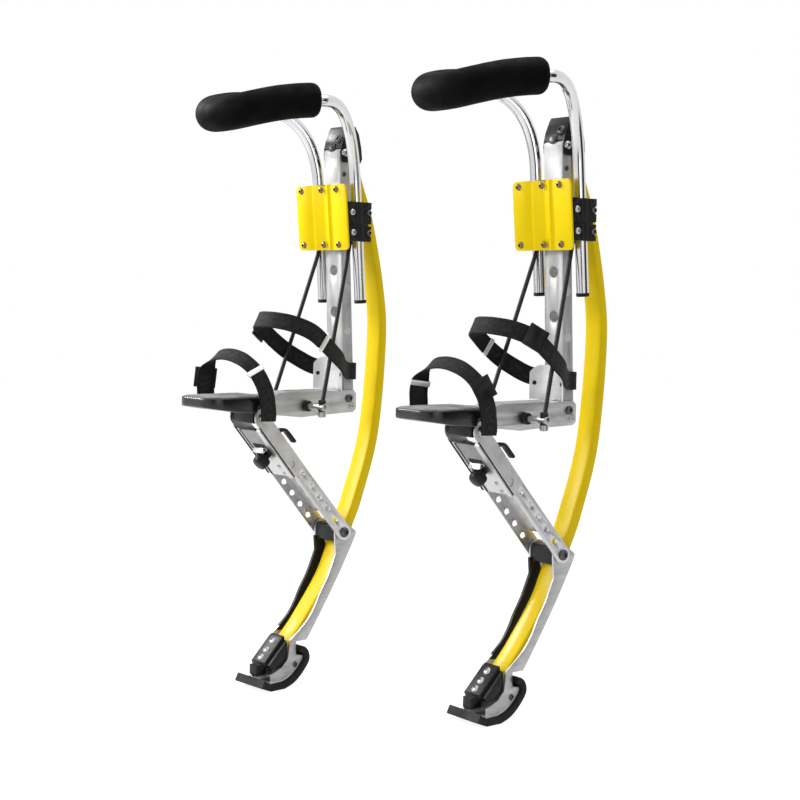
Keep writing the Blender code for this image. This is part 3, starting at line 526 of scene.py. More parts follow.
FRONT_DRILL, SIDE_DRILL = 0.0092, 0.0045
front_drills = [cylinder((0, 0.10, z), (0, 0.25, z), FRONT_DRILL) for z in FRONT_HOLES]


def mast_middle(z):
    """Y of the mast's middle line at a height."""
    return (MAST_FRONT + MAST_BACK) / 2 + (z - MAST_BOTTOM) * mast_slope


side_drills = [across((mast_middle(z), z), THROUGH, SIDE_DRILL) for z in SIDE_HOLES]
aluminium = streaked("polished_aluminium", (0.46, 0.46, 0.465), 0.60, 1.0, (420, 420, 22), 0.06, 0.06)
mast = cut(extruded(mast_outline, 2 * MAST_HALF), mast_bore, *front_drills, *side_drills,
           bolt_hole(HEEL_BOLT_AXIS, SMALL_BOLT))
set_on_stilts(eased(mast, 0.0012), "mast", "frame", aluminium)

# Top bracket: a moulded black socket that turns on the mast's top and holds the spring's upper end.
# Its hinge bolt has a low domed head with a hexagon socket at each end.
moulded, given, result = node_group("moulded_grain", {
    "Colour": 'Color', "Roughness": 'Float', "Grain": 'Float', "Depth": 'Float'}, SKIN)
spot = moulded.nodes.new('ShaderNodeTexCoord').outputs["Object"]
grain, wear_and_sheen = noise(moulded, spot, given["Grain"], 3.0), noise(moulded, spot, 45.0, 5.0)
paler = stretched_range(moulded, wear_and_sheen, 0.35, 0.75, 0.75, 1.7)
worn = stretched_range(moulded, wear_and_sheen, 0.3, 0.7, 1.15, 0.85)
plug(moulded, result, {"Colour": shaded(moulded, given["Colour"], paler),
                       "Roughness": sums(moulded, 'MULTIPLY', worn, given["Roughness"]),
                       "Normal": bumps(moulded, grain, given["Depth"], 0.0004)})


def moulding(name, colour, roughness, grain_scale, depth, **plain):
    """A moulded material with a fine grain."""
    return skinned(name, moulded, {"Colour": (*colour, 1), "Roughness": roughness, "Grain": grain_scale,
                                   "Depth": depth}, **plain)


def turned(profile, axes, sides=40):
    """A turned piece: (radius, height) points from the top down, closed on the axis."""
    def fill(work):
        verts = [work.verts.new((r, 0, h)) for r, h in profile]
        for a, b in zip(verts, verts[1:]):
            work.edges.new((a, b))
    piece = workpiece(fill)
    screw = piece.modifiers.new("turn", 'SCREW')
    screw.steps = screw.render_steps = sides
    screw.use_merge_vertices, screw.merge_threshold = True, 0.00001
    piece.matrix_world = axes
    return baked(piece)


def dome(radius, height, foot, steps=6):
    """Profile of a domed head from its top down to its foot."""
    return [(radius * math.sin(a), foot + height * math.cos(a))
            for a in (math.pi / 2 * i / steps for i in range(steps + 1))]


def across_axes(axis):
    """Axes at a (Y, Z) axis, with Z across the stilt."""
    return Matrix.Translation((0, *axis)) @ Matrix.Rotation(math.radians(90), 4, 'Y')


def turned_across(half, axis):
    """A piece turned about an axis across the stilt, the same on both sides."""
    return turned(half + [(r, -h) for r, h in half[::-1]], across_axes(axis))


SOCKET_SHARE = 0.45


def headed_bolt(name, body, axis, half, radius, head_radius, head_height, material):
    """Sets a bolt across a piece of a half width, with a domed, socketed head on each side."""
    grip = half + GAP
    bolt = turned_across(dome(head_radius, head_height, grip) + [(radius, grip)], axis)
    sockets = [cylinder((sign * (grip + head_height * SOCKET_SHARE), *axis), (sign * (grip + 0.02), *axis),
                        head_radius * SOCKET_SHARE, 6) for sign in (-1, 1)]
    set_on_stilts(cut(bolt, *sockets), name, body, material)


BRACKET_HALF = 0.0220
black_plastic = moulding("black_nylon", (0.0055, 0.0055, 0.006), 0.40, 900.0, 0.20, Specular_IOR_Level=0.28)
steel = streaked("plated_steel", (0.42, 0.42, 0.43), 0.28, 1.0, (300, 300, 300), 0.10, 0.04)


def spring_room(extra):
    """A block the shape of the spring, larger by a gap, for cutting its sockets."""
    larger = [depth + 2 * extra for depth in depths]
    return swept(spring_path, 2 * (SPRING_HALF + extra), larger, 0.0005, corner_steps=1)


bracket = extruded([(0.1575, 0.841), (0.1572, 0.858), (0.1610, 0.872), (0.1685, 0.889), (0.1720, 0.894),
                    (0.1860, 0.894), (0.1940, 0.882), (0.1995, 0.860), (0.2015, 0.843), (0.1980, 0.836),
                    (0.1610, 0.836)], 2 * BRACKET_HALF)
mast_room = arc(SPRING_AXIS, 0.0105, 0, 180, 20)
mast_room += [(0.154, 0.8495), (0.140, 0.8495), (0.140, 0.820), (0.175, 0.820)]
bracket = cut(bracket, spring_room(GAP), extruded(mast_room, 2 * (MAST_HALF + GAP)))
CORNER_X = BRACKET_HALF * 1.02
corner_cuts = [extruded([(x * CORNER_X, 0.872), (x * CORNER_X, 0.897), (x * 0.0095, 0.897)], 0.2, FRONT)
               for x in (-1, 1)]
bracket = cut(bracket, *corner_cuts)
set_on_stilts(eased(bracket, 0.0016, segments=3), "top_bracket", "spring", black_plastic)
headed_bolt("top_hinge_bolt", "spring", SPRING_AXIS, BRACKET_HALF, SMALL_BOLT, 0.0065, 0.0045, steel)


def node_copies(tree, given, result, **placing):
    """Nodes that set the given pattern at points and join the copies into one painted mesh."""
    pattern = add_node(tree, 'GeometryNodeObjectInfo', {"Object": given["Pattern"]}).outputs["Geometry"]
    copies = add_node(tree, 'GeometryNodeInstanceOnPoints', {"Instance": pattern, **placing})
    joined = add_node(tree, 'GeometryNodeRealizeInstances', {0: copies.outputs[0]})
    finish = {"Geometry": joined.outputs[0], "Material": given["Finish"]}
    plug(tree, result, {0: add_node(tree, 'GeometryNodeSetMaterial', finish).outputs[0]})


def give_nodes(piece, group, values):
    """Puts a Geometry Nodes group with its values on an object."""
    step = piece.modifiers.new("nodes", 'NODES')
    step.node_group = group
    for item in group.interface.items_tree:
        if item.in_out == 'INPUT' and item.name in values:
            step[item.identifier] = values[item.name]


MESH_OUT = {"Geometry": 'Geometry'}
fastening, given, result = node_group("set_fasteners", {
    "Geometry": 'Geometry', "Pattern": 'Object', "Finish": 'Material'}, MESH_OUT, 'GeometryNodeTree')
faced = add_node(fastening, 'GeometryNodeInputNamedAttribute', {"Name": "facing"},
                 data_type='FLOAT_VECTOR').outputs["Attribute"]
turn = add_node(fastening, 'FunctionNodeAlignRotationToVector', {"Vector": faced}, axis='Z')
node_copies(fastening, given, result, Points=given["Geometry"], Rotation=turn.outputs["Rotation"])
HEAD_SUNK = 0.0006


def screw_head(radius, height, socket):
    """A domed head that stands on z = 0, with a six-sided socket of that radius."""
    head = turned(dome(radius, height, 0.0) + [(radius * 0.9, -HEAD_SUNK), (0, -HEAD_SUNK)], PLAN, 28)
    if socket:
        head = cut(head, cylinder((0, 0, height * 0.4), (0, 0, height * 2), socket, 6))
    head.data.shade_smooth()
    head.data.set_sharp_from_angle(angle=math.radians(38))
    return head


def fastened(name, body, spots, head, material):
    """Sets one kind of head at (place, facing) spots of each stilt."""
    for side, stand in stands.items():
        mesh = bpy.data.meshes.new(f"{side}.{name}")
        mesh.from_pydata([stand @ Vector(place) for place, facing in spots], [], [])
        directions = mesh.attributes.new("facing", 'FLOAT_VECTOR', 'POINT')
        for entry, (place, facing) in zip(directions.data, spots):
            entry.vector = stand.to_3x3() @ Vector(facing)
        heads = new_object(f"{side}.{name}", mesh)
        give_nodes(heads, fastening, {"Pattern": head, "Finish": material})
        bpy.context.view_layer.update()
        graph = bpy.context.evaluated_depsgraph_get()
        heads.data = bpy.data.meshes.new_from_object(heads.evaluated_get(graph))
        heads.modifiers.clear()
        settle(heads, side, body)
    bpy.data.objects.remove(head)


def on_both_sides(x, y, z):
    """Spots on the outer faces of a piece, the same on both of its sides."""
    return [((sign * x, y, z), (sign, 0, 0)) for sign in (-1, 1)]


grey_steel = streaked("oxidised_steel", (0.10, 0.10, 0.105), 0.42, 1.0, (200, 200, 200), 0.25, 0.06)
fastened("bracket_bush", "spring", [((-0.002, 0.1572, 0.8608), (0, -0.95, 0.31))],
         screw_head(0.0078, 0.0030, 0.0), grey_steel)
fastened("bracket_bolt", "spring", [((0.0105, 0.1610, 0.8735), (0, -0.93, 0.37))],
         screw_head(0.0075, 0.0034, 0.0034), grey_steel)

# Mast fittings: matt aluminium sleeves turned to line the front holes, and low bushes pressed over the side
# holes. A dark socket screw on each side closes the mast below its round top.
matt_aluminium = streaked("matt_aluminium", (0.60, 0.60, 0.605), 0.75, 1.0, (90, 90, 90), 0.10, 0.04)
SLEEVE_HALF, SLEEVE_OUT, SLEEVE_IN = 0.0085, 0.0090, 0.0083
sleeve = [(SLEEVE_OUT, SLEEVE_HALF), (SLEEVE_OUT, -SLEEVE_HALF), (SLEEVE_IN, -SLEEVE_HALF),
          (SLEEVE_IN, SLEEVE_HALF), (SLEEVE_OUT, SLEEVE_HALF)]
sleeves = [turned(sleeve, Matrix.Translation((0, mast_middle(z), z)) @ FRONT) for z in FRONT_HOLES]
set_on_stilts(fuse(*sleeves), "mast_sleeves", "frame", matt_aluminium, trim=True)
bush_spots = [((x * MAST_HALF, mast_middle(z), z), (x, 0, 0)) for x in (-1, 1) for z in SIDE_HOLES]
fastened("mast_bushes", "frame", bush_spots, screw_head(0.0066, 0.0009, 0.0), matt_aluminium)
fastened("mast_screws", "frame", on_both_sides(MAST_HALF, 0.1660, 0.8172), screw_head(0.0044, 0.0016, 0.0020),
         grey_steel)

# Foot arm: a hollow aluminium beam from the heel forward, slotted for the mast and bolted through it.
# The cross bar goes through its sides, and a plated screw sits on each side behind.
ARM_HALF, ARM_TOP, PLATE = 0.023, 0.470, 0.003
PLATE_TOP, PLATE_BACK, STEP_Z, BLOCK_BACK = 0.466, 0.006, 0.452, 0.0125
ARM_FRONT, ARM_BACK, ARM_CORNER = PLATE_BACK + GAP, 0.195, 0.006
CROSS_BAR_AXIS, BAR_RADIUS = (0.0895, 0.447), 0.005
arm = extruded([(ARM_FRONT, PLATE_TOP), (0.030, PLATE_TOP), (0.042, ARM_TOP),
                (ARM_BACK - ARM_CORNER, ARM_TOP), (ARM_BACK, ARM_TOP - ARM_CORNER), (ARM_BACK, 0.438),
                (ARM_BACK - ARM_CORNER, 0.433), (0.120, 0.431), (0.081, 0.429), (0.045, 0.433),
                (BLOCK_BACK + GAP, 0.436), (BLOCK_BACK + GAP, STEP_Z), (ARM_FRONT, STEP_Z)], 2 * ARM_HALF)
arm = cut(arm, block((-MAST_HALF - GAP, 0.1670, 0.40), (MAST_HALF + GAP, 0.21, 0.50)),
          block((-ARM_HALF + PLATE, 0.050, 0.40), (ARM_HALF - PLATE, 0.158, ARM_TOP - PLATE)),
          bolt_hole(CROSS_BAR_AXIS, BAR_RADIUS), bolt_hole(HEEL_BOLT_AXIS, SMALL_BOLT))
dull_aluminium = streaked("dull_aluminium", (0.50, 0.50, 0.505), 0.48, 1.0, (90, 40, 160), 0.22, 0.12)
set_on_stilts(eased(arm, 0.0010), "foot_arm", "frame", dull_aluminium)
headed_bolt("heel_bolt", "frame", HEEL_BOLT_AXIS, ARM_HALF, SMALL_BOLT, 0.0065, 0.0040, grey_steel)
fastened("arm_screws", "frame", on_both_sides(ARM_HALF, 0.1850, 0.4425), screw_head(0.0042, 0.0026, 0.0018),
         steel)

# Cross bar: a turned steel bar through the arm, thicker where it goes through the eyes of the stays and
# domed at its ends. A black collar on each side of the arm keeps it in its middle.
EYE_X, EYE_HALF = 0.0632, 0.006
BOSS_RADIUS, BOSS_HALF, BOSS_STEP, BOSS_DOME = 0.0062, 0.0085, 0.001, 0.0015
half_bar = dome(BOSS_RADIUS, BOSS_DOME, EYE_X + BOSS_HALF)
half_bar += [(BOSS_RADIUS, EYE_X - BOSS_HALF), (BAR_RADIUS, EYE_X - BOSS_HALF - BOSS_STEP)]
set_on_stilts(turned_across(half_bar, CROSS_BAR_AXIS), "cross_bar", "frame", steel)
COLLAR_START, COLLAR_END, COLLAR_IN = ARM_HALF + GAP, 0.0305, BAR_RADIUS - GAP
collar = [(COLLAR_IN, COLLAR_END), (0.0080, COLLAR_END), (0.0087, COLLAR_END - 0.0007),
          (0.0087, ARM_HALF + 0.0009), (0.0080, COLLAR_START), (COLLAR_IN, COLLAR_START),
          (COLLAR_IN, COLLAR_END)]
collars = [turned([(r, sign * h) for r, h in collar], across_axes(CROSS_BAR_AXIS)) for sign in (-1, 1)]
set_on_stilts(fuse(*collars), "cross_bar_collars", "frame", black_plastic, trim=True)

# Stays: thin blackened rods from the clamps down to turned eyes on the cross bar, one on each side.
# A plated nut closes each eye from below.
dark_steel = streaked("blackened_steel", (0.020, 0.020, 0.022), 0.36, 0.6, (260, 260, 40), 0.20, 0.05)
CLAMP_BOTTOM, CLAMP_TOP = 0.709, 0.771
STAY_TOP = Vector((0.0357, 0.1665, CLAMP_BOTTOM - GAP))
EYE_TOP, EYE_BOTTOM, ROD_RADIUS = 0.459, 0.433, 0.0033
bar_y = CROSS_BAR_AXIS[0]
EDGE = 0.001
eye_outline = [(0, EYE_TOP), (EYE_HALF - EDGE, EYE_TOP), (EYE_HALF, EYE_TOP - EDGE),
               (EYE_HALF, EYE_BOTTOM + EDGE), (EYE_HALF - EDGE, EYE_BOTTOM), (0, EYE_BOTTOM)]
HANDS = [(hand, side, sign * mirror) for hand, sign in (("inner", -1), ("outer", 1))
         for side, mirror in SIDES.items()]
for hand, side, x in HANDS:
    eye = turned(eye_outline, Matrix.Translation((x * EYE_X, bar_y, 0)), 32)
    rod = cylinder((x * EYE_X, bar_y + 0.0005, EYE_TOP - 0.006), (x * STAY_TOP.x, STAY_TOP.y, STAY_TOP.z),
                   ROD_RADIUS, 24)
    stay = cut(fuse(eye, rod), across(CROSS_BAR_AXIS, 0.2, BOSS_RADIUS + GAP))
    set_on_stilts(stay, f"stay_rod_{hand}", "frame", dark_steel, (side,))
NUT_TOP, NUT_HALF, NUT_FALL = CROSS_BAR_AXIS[1] - BOSS_RADIUS - 0.0008, EYE_HALF + 0.0005, 0.0014
nut_outline = [(0, NUT_TOP), (NUT_HALF, NUT_TOP), (NUT_HALF, EYE_BOTTOM),
               (EYE_HALF - EDGE, EYE_BOTTOM - NUT_FALL), (0, EYE_BOTTOM - NUT_FALL)]
nuts = [turned(nut_outline, Matrix.Translation((x * EYE_X, bar_y, 0)), 32) for x in (-1, 1)]
set_on_stilts(fuse(*nuts), "stay_nuts", "frame", steel, trim=True)

# Shin plate: a pressed steel plate in gloss yellow with a valley between two creases, leaning with the shin.
# Six domed screws hold it to the clamps and the mast.
SHIN_HALF, SHIN_HEIGHT, SHIN_CORNER = 0.0620, 0.104, 0.008
SHIN_LEAN = math.radians(5.0)
SHIN_MIDDLE = Vector((0, 0.1365, 0.7465))
VALLEY, CREASE, CREASE_BACK = 0.0065, 0.0032, 0.0008
shin_outline = [(-SHIN_HALF, 0.0), (-0.0300, 0.0), (-0.0262, CREASE), (-0.0232, CREASE), (-0.0195, 0.0002),
                (-0.0180, 0.0004), (-0.0020, VALLEY * 0.96), (0.0005, VALLEY), (0.0030, VALLEY * 0.92),
                (0.0150, 0.0004), (0.0165, 0.0002), (0.0196, CREASE), (0.0226, CREASE), (0.0265, 0.0),
                (SHIN_HALF, 0.0), (SHIN_HALF, PLATE), (0.0270, PLATE), (0.0232, PLATE + CREASE_BACK),
                (0.0190, PLATE + CREASE_BACK), (0.0170, PLATE), (0.0, PLATE + VALLEY), (-0.0195, PLATE),
                (-0.0225, PLATE + CREASE_BACK), (-0.0268, PLATE + CREASE_BACK), (-0.0305, PLATE),
                (-SHIN_HALF, PLATE)]
shin_face = rounded_rectangle((-SHIN_HALF, -SHIN_HEIGHT / 2), (SHIN_HALF, SHIN_HEIGHT / 2), SHIN_CORNER, 10)
yellow_paint = streaked("yellow_enamel", (0.88, 0.645, 0.0), 0.40, 0.0, (60, 60, 60), 0.025, 0.02,
                        Specular_IOR_Level=0.07, Coat_Weight=0.05, Coat_Roughness=0.08)
shin = common(extruded(shin_outline, SHIN_HEIGHT, PLAN), extruded(shin_face, 0.1, FRONT))
shin = eased(shin, 0.0007, angle=45.0)
shin_pose = Matrix.Translation(SHIN_MIDDLE) @ Matrix.Rotation(SHIN_LEAN, 4, 'X')
shin.matrix_world = shin_pose
set_on_stilts(baked(shin), "shin_plate", "frame", yellow_paint, sharp=50.0)

brown_steel = streaked("bronzed_steel", (0.22, 0.17, 0.10), 0.30, 1.0, (300, 300, 300), 0.15, 0.05)
shin_out = shin_pose.to_3x3() @ Vector((0, -1, 0))
shin_spots = [(shin_pose @ Vector((x, y, z)), shin_out) for z in (-0.0433, 0.0440)
              for x, y in ((-0.0485, 0.0), (0.0007, 0.0010), (0.0385, 0.0))]
fastened("shin_screws", "frame", shin_spots, screw_head(0.0054, 0.0038, 0.0024), brown_steel)

# Tube clamps: black moulded blocks in two halves, one above the other, that grip the knee bar's tubes.
# Plated socket screws close them in front and dark ones behind.
TUBE_RADIUS, TUBE_X = 0.0092, 0.0458
TUBE_FOOT, TUBE_LEAN = Vector((0.1799, 0.627)), math.radians(4.35)
TUBE_ALONG = Vector((0, -math.sin(TUBE_LEAN), math.cos(TUBE_LEAN)))
CLAMP_INSIDE, CLAMP_OUTSIDE, CLAMP_BACK = MAST_HALF + GAP, 0.0625, 0.1875
SPLIT, NOTCH = 0.735, 0.0034
POCKET, POCKET_RADIUS = 0.0022, 0.0068
CLAMP_BOLTS = [(0.1490, 0.7545), (0.1840, 0.7545), (0.1512, 0.7228), (0.1840, 0.7228)]
clamp_front = [(SHIN_MIDDLE.y + PLATE + 0.0011 - (z - SHIN_MIDDLE.z) * math.tan(SHIN_LEAN), z)
               for z in (CLAMP_BOTTOM, CLAMP_TOP)]
clamp_outline = [clamp_front[0], (CLAMP_BACK, CLAMP_BOTTOM), (CLAMP_BACK, CLAMP_TOP), clamp_front[1]]


def upright(x, z):
    """A point on the middle of a tube of the knee bar at a height."""
    return Vector((x, TUBE_FOOT.x, TUBE_FOOT.y)) + TUBE_ALONG * ((z - TUBE_FOOT.y) / TUBE_ALONG.z)


FLUTE_OUT, FLUTE_RADIUS, FLUTE_LEAN = CLAMP_OUTSIDE + 0.0016, 0.0042, 0.006
split_low, split_high = SPLIT - NOTCH / 2, SPLIT + NOTCH / 2
for hand, side, x in HANDS:
    clamp = extruded(clamp_outline, CLAMP_OUTSIDE - CLAMP_INSIDE,
                     middle=x * (CLAMP_OUTSIDE + CLAMP_INSIDE) / 2)
    outer_groove = block((x * CLAMP_OUTSIDE - NOTCH, 0.10, split_low),
                         (x * CLAMP_OUTSIDE + NOTCH, 0.25, split_high))
    back_groove = block((-0.1, CLAMP_BACK - NOTCH, split_low), (0.1, CLAMP_BACK + 0.01, split_high))
    pockets = [cylinder((x * (CLAMP_OUTSIDE - POCKET), y, z), (x * (CLAMP_OUTSIDE + 0.01), y, z),
                        POCKET_RADIUS) for y, z in CLAMP_BOLTS]
    flutes = [cylinder((x * FLUTE_OUT, y, 0.69), (x * FLUTE_OUT, y - FLUTE_LEAN, 0.79), FLUTE_RADIUS, 24)
              for y in (0.1615, 0.1785)]
    clamp = cut(clamp, cylinder(upright(x * TUBE_X, 0.6), upright(x * TUBE_X, 0.9), TUBE_RADIUS + GAP),
                outer_groove, back_groove, *pockets, *flutes)
    set_on_stilts(eased(clamp, 0.0012, segments=3), f"tube_clamp_{hand}", "frame",
                  black_plastic, (side,))
clamp_spots = [((x * (CLAMP_OUTSIDE - POCKET), y, z), (x, 0, 0)) for x in (-1, 1) for y, z in CLAMP_BOLTS]
clamp_spots += [((x * 0.033, CLAMP_BACK, z), (0, 1, 0)) for x in (-1, 1) for z in (0.7545, 0.7215)]
ROWS_APART = 0.16
front_row = [spot for spot in clamp_spots if spot[0][1] < ROWS_APART]
back_row = [spot for spot in clamp_spots if spot[0][1] > ROWS_APART]
fastened("clamp_screws", "frame", front_row, screw_head(0.0058, 0.0044, 0.0026), steel)
fastened("clamp_back_screws", "frame", back_row, screw_head(0.0052, 0.0040, 0.0026), grey_steel)

# Knee bar: one chromed steel tube, upright in the clamps, bent forward into a loop below the wearer's knee.
# Black rubber caps close its two lower ends.
BAR_DROP = 0.0165
bar_drop = {"left": Vector(), "right": -TUBE_ALONG * BAR_DROP}
LOOP_RADIUS, LOOP_Y = 0.0658, 0.0009
LOOP_LEVEL, LOOP_SLOPE, LOOP_CROWN = 0.9280, 0.193, -1.36
SPREAD, ARM_LENGTH = math.radians(18.9), 0.0832
FRONT_TURN = math.pi / 2 - SPREAD
FRONT_HALF = LOOP_RADIUS * FRONT_TURN
LOOP_HALF = FRONT_HALF + ARM_LENGTH
BEND_BOTTOM, BEND_PULLS = 0.816, (0.058, 0.4084)
CAP_HEIGHT, CAP_WALL = 0.0055, 0.0008


def on_loop(distance):
    """A point of the loop's left half, at a distance round from its front."""
    angle = min(distance / LOOP_RADIUS, FRONT_TURN)
    ahead = distance - angle * LOOP_RADIUS
    x = LOOP_RADIUS * math.sin(angle) + ahead * math.cos(angle)
    back = ahead * math.sin(angle) - LOOP_RADIUS * math.cos(angle)
    return Vector((x, LOOP_Y + back, LOOP_LEVEL + back * LOOP_SLOPE + back ** 2 * LOOP_CROWN))


def both_halves(half):
    """A symmetrical line from its left half, which begins on the middle."""
    return half[::-1] + [Vector((-p.x, p.y, p.z)) for p in half[1:]]


def piped(points, radii, sides=36):
    """A round pipe along points with one radius for each; closed flat at its ends."""
    def fill(work):
        rings, side_way = [], Vector((0, 0, 1))
        for i, p in enumerate(points):
            along = (points[min(i + 1, len(points) - 1)] - points[max(i - 1, 0)]).normalized()
            side_way = (side_way - along * side_way.dot(along)).normalized()
            other = along.cross(side_way)
            turns = [2 * math.pi * k / sides for k in range(sides)]
            rings.append([work.verts.new(p + (side_way * math.cos(a) + other * math.sin(a)) * radii[i])
                          for a in turns])
        bridged(work, rings)
    return workpiece(fill)


arm_end = on_loop(LOOP_HALF)
arm_along = (arm_end - on_loop(LOOP_HALF - 0.003)).normalized()
tube_top = upright(TUBE_X, BEND_BOTTOM)
bend = [(2 * t ** 3 - 3 * t ** 2 + 1) * arm_end + (t ** 3 - 2 * t ** 2 + t) * BEND_PULLS[0] * arm_along
        + (3 * t ** 2 - 2 * t ** 3) * tube_top + (t ** 2 - t ** 3) * BEND_PULLS[1] * TUBE_ALONG
        for t in (i / 40 for i in range(1, 41))]
loop = [on_loop(LOOP_HALF * i / 48) for i in range(49)]
tube_line = both_halves(loop + bend + [upright(TUBE_X, TUBE_FOOT.y + CAP_HEIGHT * 0.5)])
chrome = streaked("chromed_tube", (0.66, 0.66, 0.67), 0.15, 1.0, (30, 30, 30), 0.03, 0.0)
set_on_stilts(piped(tube_line, [TUBE_RADIUS] * len(tube_line)), "knee_bar", "knee_bar", chrome,
              drop=bar_drop)
cap_rise = (0.0, 0.0, 0.0010, CAP_HEIGHT - 0.0008, CAP_HEIGHT, CAP_HEIGHT)
cap_radii = (0.004, TUBE_RADIUS - 0.0006, TUBE_RADIUS + CAP_WALL * 0.8, TUBE_RADIUS + CAP_WALL,
             TUBE_RADIUS + CAP_WALL * 0.5, TUBE_RADIUS - 0.0005)
tube_caps = []
for x in (-1, 1):
    foot = upright(x * TUBE_X, TUBE_FOOT.y)
    tube_caps.append(piped([foot + TUBE_ALONG * (h + i * 1e-5) for i, h in enumerate(cap_rise)], cap_radii))
black_rubber = moulding("black_rubber", (0.006, 0.006, 0.006), 0.60, 700.0, 0.25, Specular_IOR_Level=0.25)
set_on_stilts(fuse(*tube_caps), "tube_caps", "knee_bar", black_rubber, trim=True, drop=bar_drop)

# Foam sleeve: a thick tube of closed-cell foam pushed round the loop, soft-shouldered at its ends, with the
# slightly uneven skin of foam that has been bent to shape.
FOAM_RADIUS, FOAM_HALF = 0.0262, LOOP_HALF - 0.0055
FOAM_SHOULDER, END_SHARE = 0.012, 0.62
foam_line, foam_radii = [], []
for i in range(71):
    distance = FOAM_HALF * i / 70
    short = max(0.0, distance - (FOAM_HALF - FOAM_SHOULDER)) / FOAM_SHOULDER
    foam_line.append(on_loop(distance))
    foam_radii.append(FOAM_RADIUS * (END_SHARE + (1 - END_SHARE) * math.sqrt(max(0.0, 1 - short ** 2))))
foam_line += [on_loop(FOAM_HALF + 0.0004), on_loop(FOAM_HALF - 0.0006)]
foam_radii += [TUBE_RADIUS + 0.0035, TUBE_RADIUS + 0.0001]
black_foam = moulding("black_closed_cell_foam", (0.0025, 0.0025, 0.0025), 0.62, 620.0, 0.35,
                      Specular_IOR_Level=0.05)
foam = piped(both_halves(foam_line), foam_radii[::-1] + foam_radii[1:], 64)
swelling = bpy.data.textures.new("foam_swelling", 'CLOUDS')
swelling.noise_scale = 0.035
uneven = foam.modifiers.new("uneven", 'DISPLACE')
uneven.texture, uneven.strength, uneven.mid_level = swelling, 0.0006, 0.5
uneven.texture_coords = 'LOCAL'
for piece in set_on_stilts(baked(foam), "knee_foam", "knee_bar", black_foam, sharp=70.0,
                           drop=bar_drop).values():
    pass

# Foot plate: a thick moulded plate with a round toe, stepped up behind over the link's ends.
# A thin grey mat of grip rubber lies on its top, with a row of cross ribs.
PLATE_HALF, TOE_RADIUS, PLATE_FRONT = 0.048, 0.030, -0.1125
MAT_TOP, MAT_INSET = 0.0010, 0.0035


def toe_plan(inset, back):
    """Outline of the plate from above, smaller all round by an inset."""
    half = [Vector((PLATE_HALF - inset, back))]
    half += arc((PLATE_HALF - TOE_RADIUS, PLATE_FRONT + TOE_RADIUS), TOE_RADIUS - inset, 0, -90, 18)
    return half + [Vector((-p.x, p.y)) for p in half[::-1]]


foot_plate = extruded([(PLATE_FRONT, PLATE_TOP), (PLATE_FRONT, STEP_Z), (-0.070, 0.445), (-0.025, 0.441),
                       (-0.022, STEP_Z), (PLATE_BACK, STEP_Z), (PLATE_BACK, PLATE_TOP)], 0.2)
foot_plate = common(foot_plate, extruded(toe_plan(0.0, PLATE_BACK), 2.0, PLAN))
gloss_plastic = moulding("gloss_black_nylon", (0.006, 0.006, 0.0065), 0.26, 500.0, 0.10,
                         Specular_IOR_Level=0.5)
set_on_stilts(eased(foot_plate, 0.0022, segments=3), "foot_plate", "frame", gloss_plastic)
grey_grip = moulding("grey_grip_rubber", (0.20, 0.20, 0.205), 0.55, 800.0, 0.30)
mat = extruded(toe_plan(MAT_INSET, PLATE_BACK - MAT_INSET), 2 * MAT_TOP, PLAN, PLATE_TOP)
set_on_stilts(eased(mat, 0.0004), "grip_mat", "frame", grey_grip, trim=True)

ribbing, given, result = node_group("lay_ribs", {
    "Pattern": 'Object', "Finish": 'Material', "Count": 'Int', "Pitch": 'Vector'},
    MESH_OUT, 'GeometryNodeTree')
row = add_node(ribbing, 'GeometryNodeMeshLine', {"Count": given["Count"], "Offset": given["Pitch"]})
node_copies(ribbing, given, result, Points=row.outputs[0])
RIB_HALF, RIB_FRONT, RIB_PITCH, RIB_COUNT = 0.040, -0.0935, 0.0048, 20
mat_face = PLATE_TOP + MAT_TOP
rib = eased(block((-RIB_HALF, -0.0010, mat_face - 0.0002), (RIB_HALF, 0.0010, mat_face + 0.0007)), 0.0004)
rib.data.transform(Matrix.Translation((0, RIB_FRONT, 0)))
ribs = new_object("bench", bpy.data.meshes.new("bench"))
give_nodes(ribs, ribbing, {"Pattern": rib, "Finish": grey_grip, "Count": RIB_COUNT,
                           "Pitch": (0, RIB_PITCH, 0)})
ribs = baked(ribs)
bpy.data.objects.remove(rib)
set_on_stilts(ribs, "grip_ribs", "frame", grey_grip, trim=True)

# Pivot block: a moulded black bush block under the foot plate, drilled across.
# The plated bolt that the link swings on goes through it, with a socketed head at each end.
LINK_AXIS, KNEE_AXIS = Vector((-0.002, 0.432)), Vector((0.1665, 0.238))
BOLT_RADIUS, UPPER_LINK_HALF, LOWER_LINK_HALF, LINK_WALL = 0.005, 0.0335, 0.0312, 0.002
pivot = extruded(rounded_rectangle((-0.0165, 0.4235), (BLOCK_BACK, STEP_Z - GAP), 0.003), 0.050)
pivot = cut(pivot, bolt_hole(LINK_AXIS, BOLT_RADIUS))
set_on_stilts(eased(pivot, 0.0010), "pivot_block", "frame", black_plastic)
headed_bolt("link_pivot_bolt", "frame", LINK_AXIS, UPPER_LINK_HALF, BOLT_RADIUS, 0.009, 0.005, steel)

# Link: two nested aluminium channels from the foot pivot to the knee. The upper one is open behind and has
# raised lips and a dark plate on its front; thin black strips on it beside the lips and above the guard tab
# are painted shade. The lower one is open in front, and is drilled so that it can be set at several lengths
# and pinned by the lock knob.
link_length = (KNEE_AXIS - LINK_AXIS).length
link_along = (KNEE_AXIS - LINK_AXIS) / link_length
link_front = Vector((link_along.y, -link_along.x))


def link_points(pairs):
    """(Y, Z) of points given along the link from its pivot, and out of its front face."""
    return [LINK_AXIS + link_along * s + link_front * t for s, t in pairs]


def link_strip(start, end, low, high, width, middle=0.0, top_start=None):
    """A strip along the link that stands out of its front face from low to high."""
    corners = [(start, low), (end, low), (end, high), (top_start or start, high)]
    return extruded(link_points(corners), width, middle=middle)


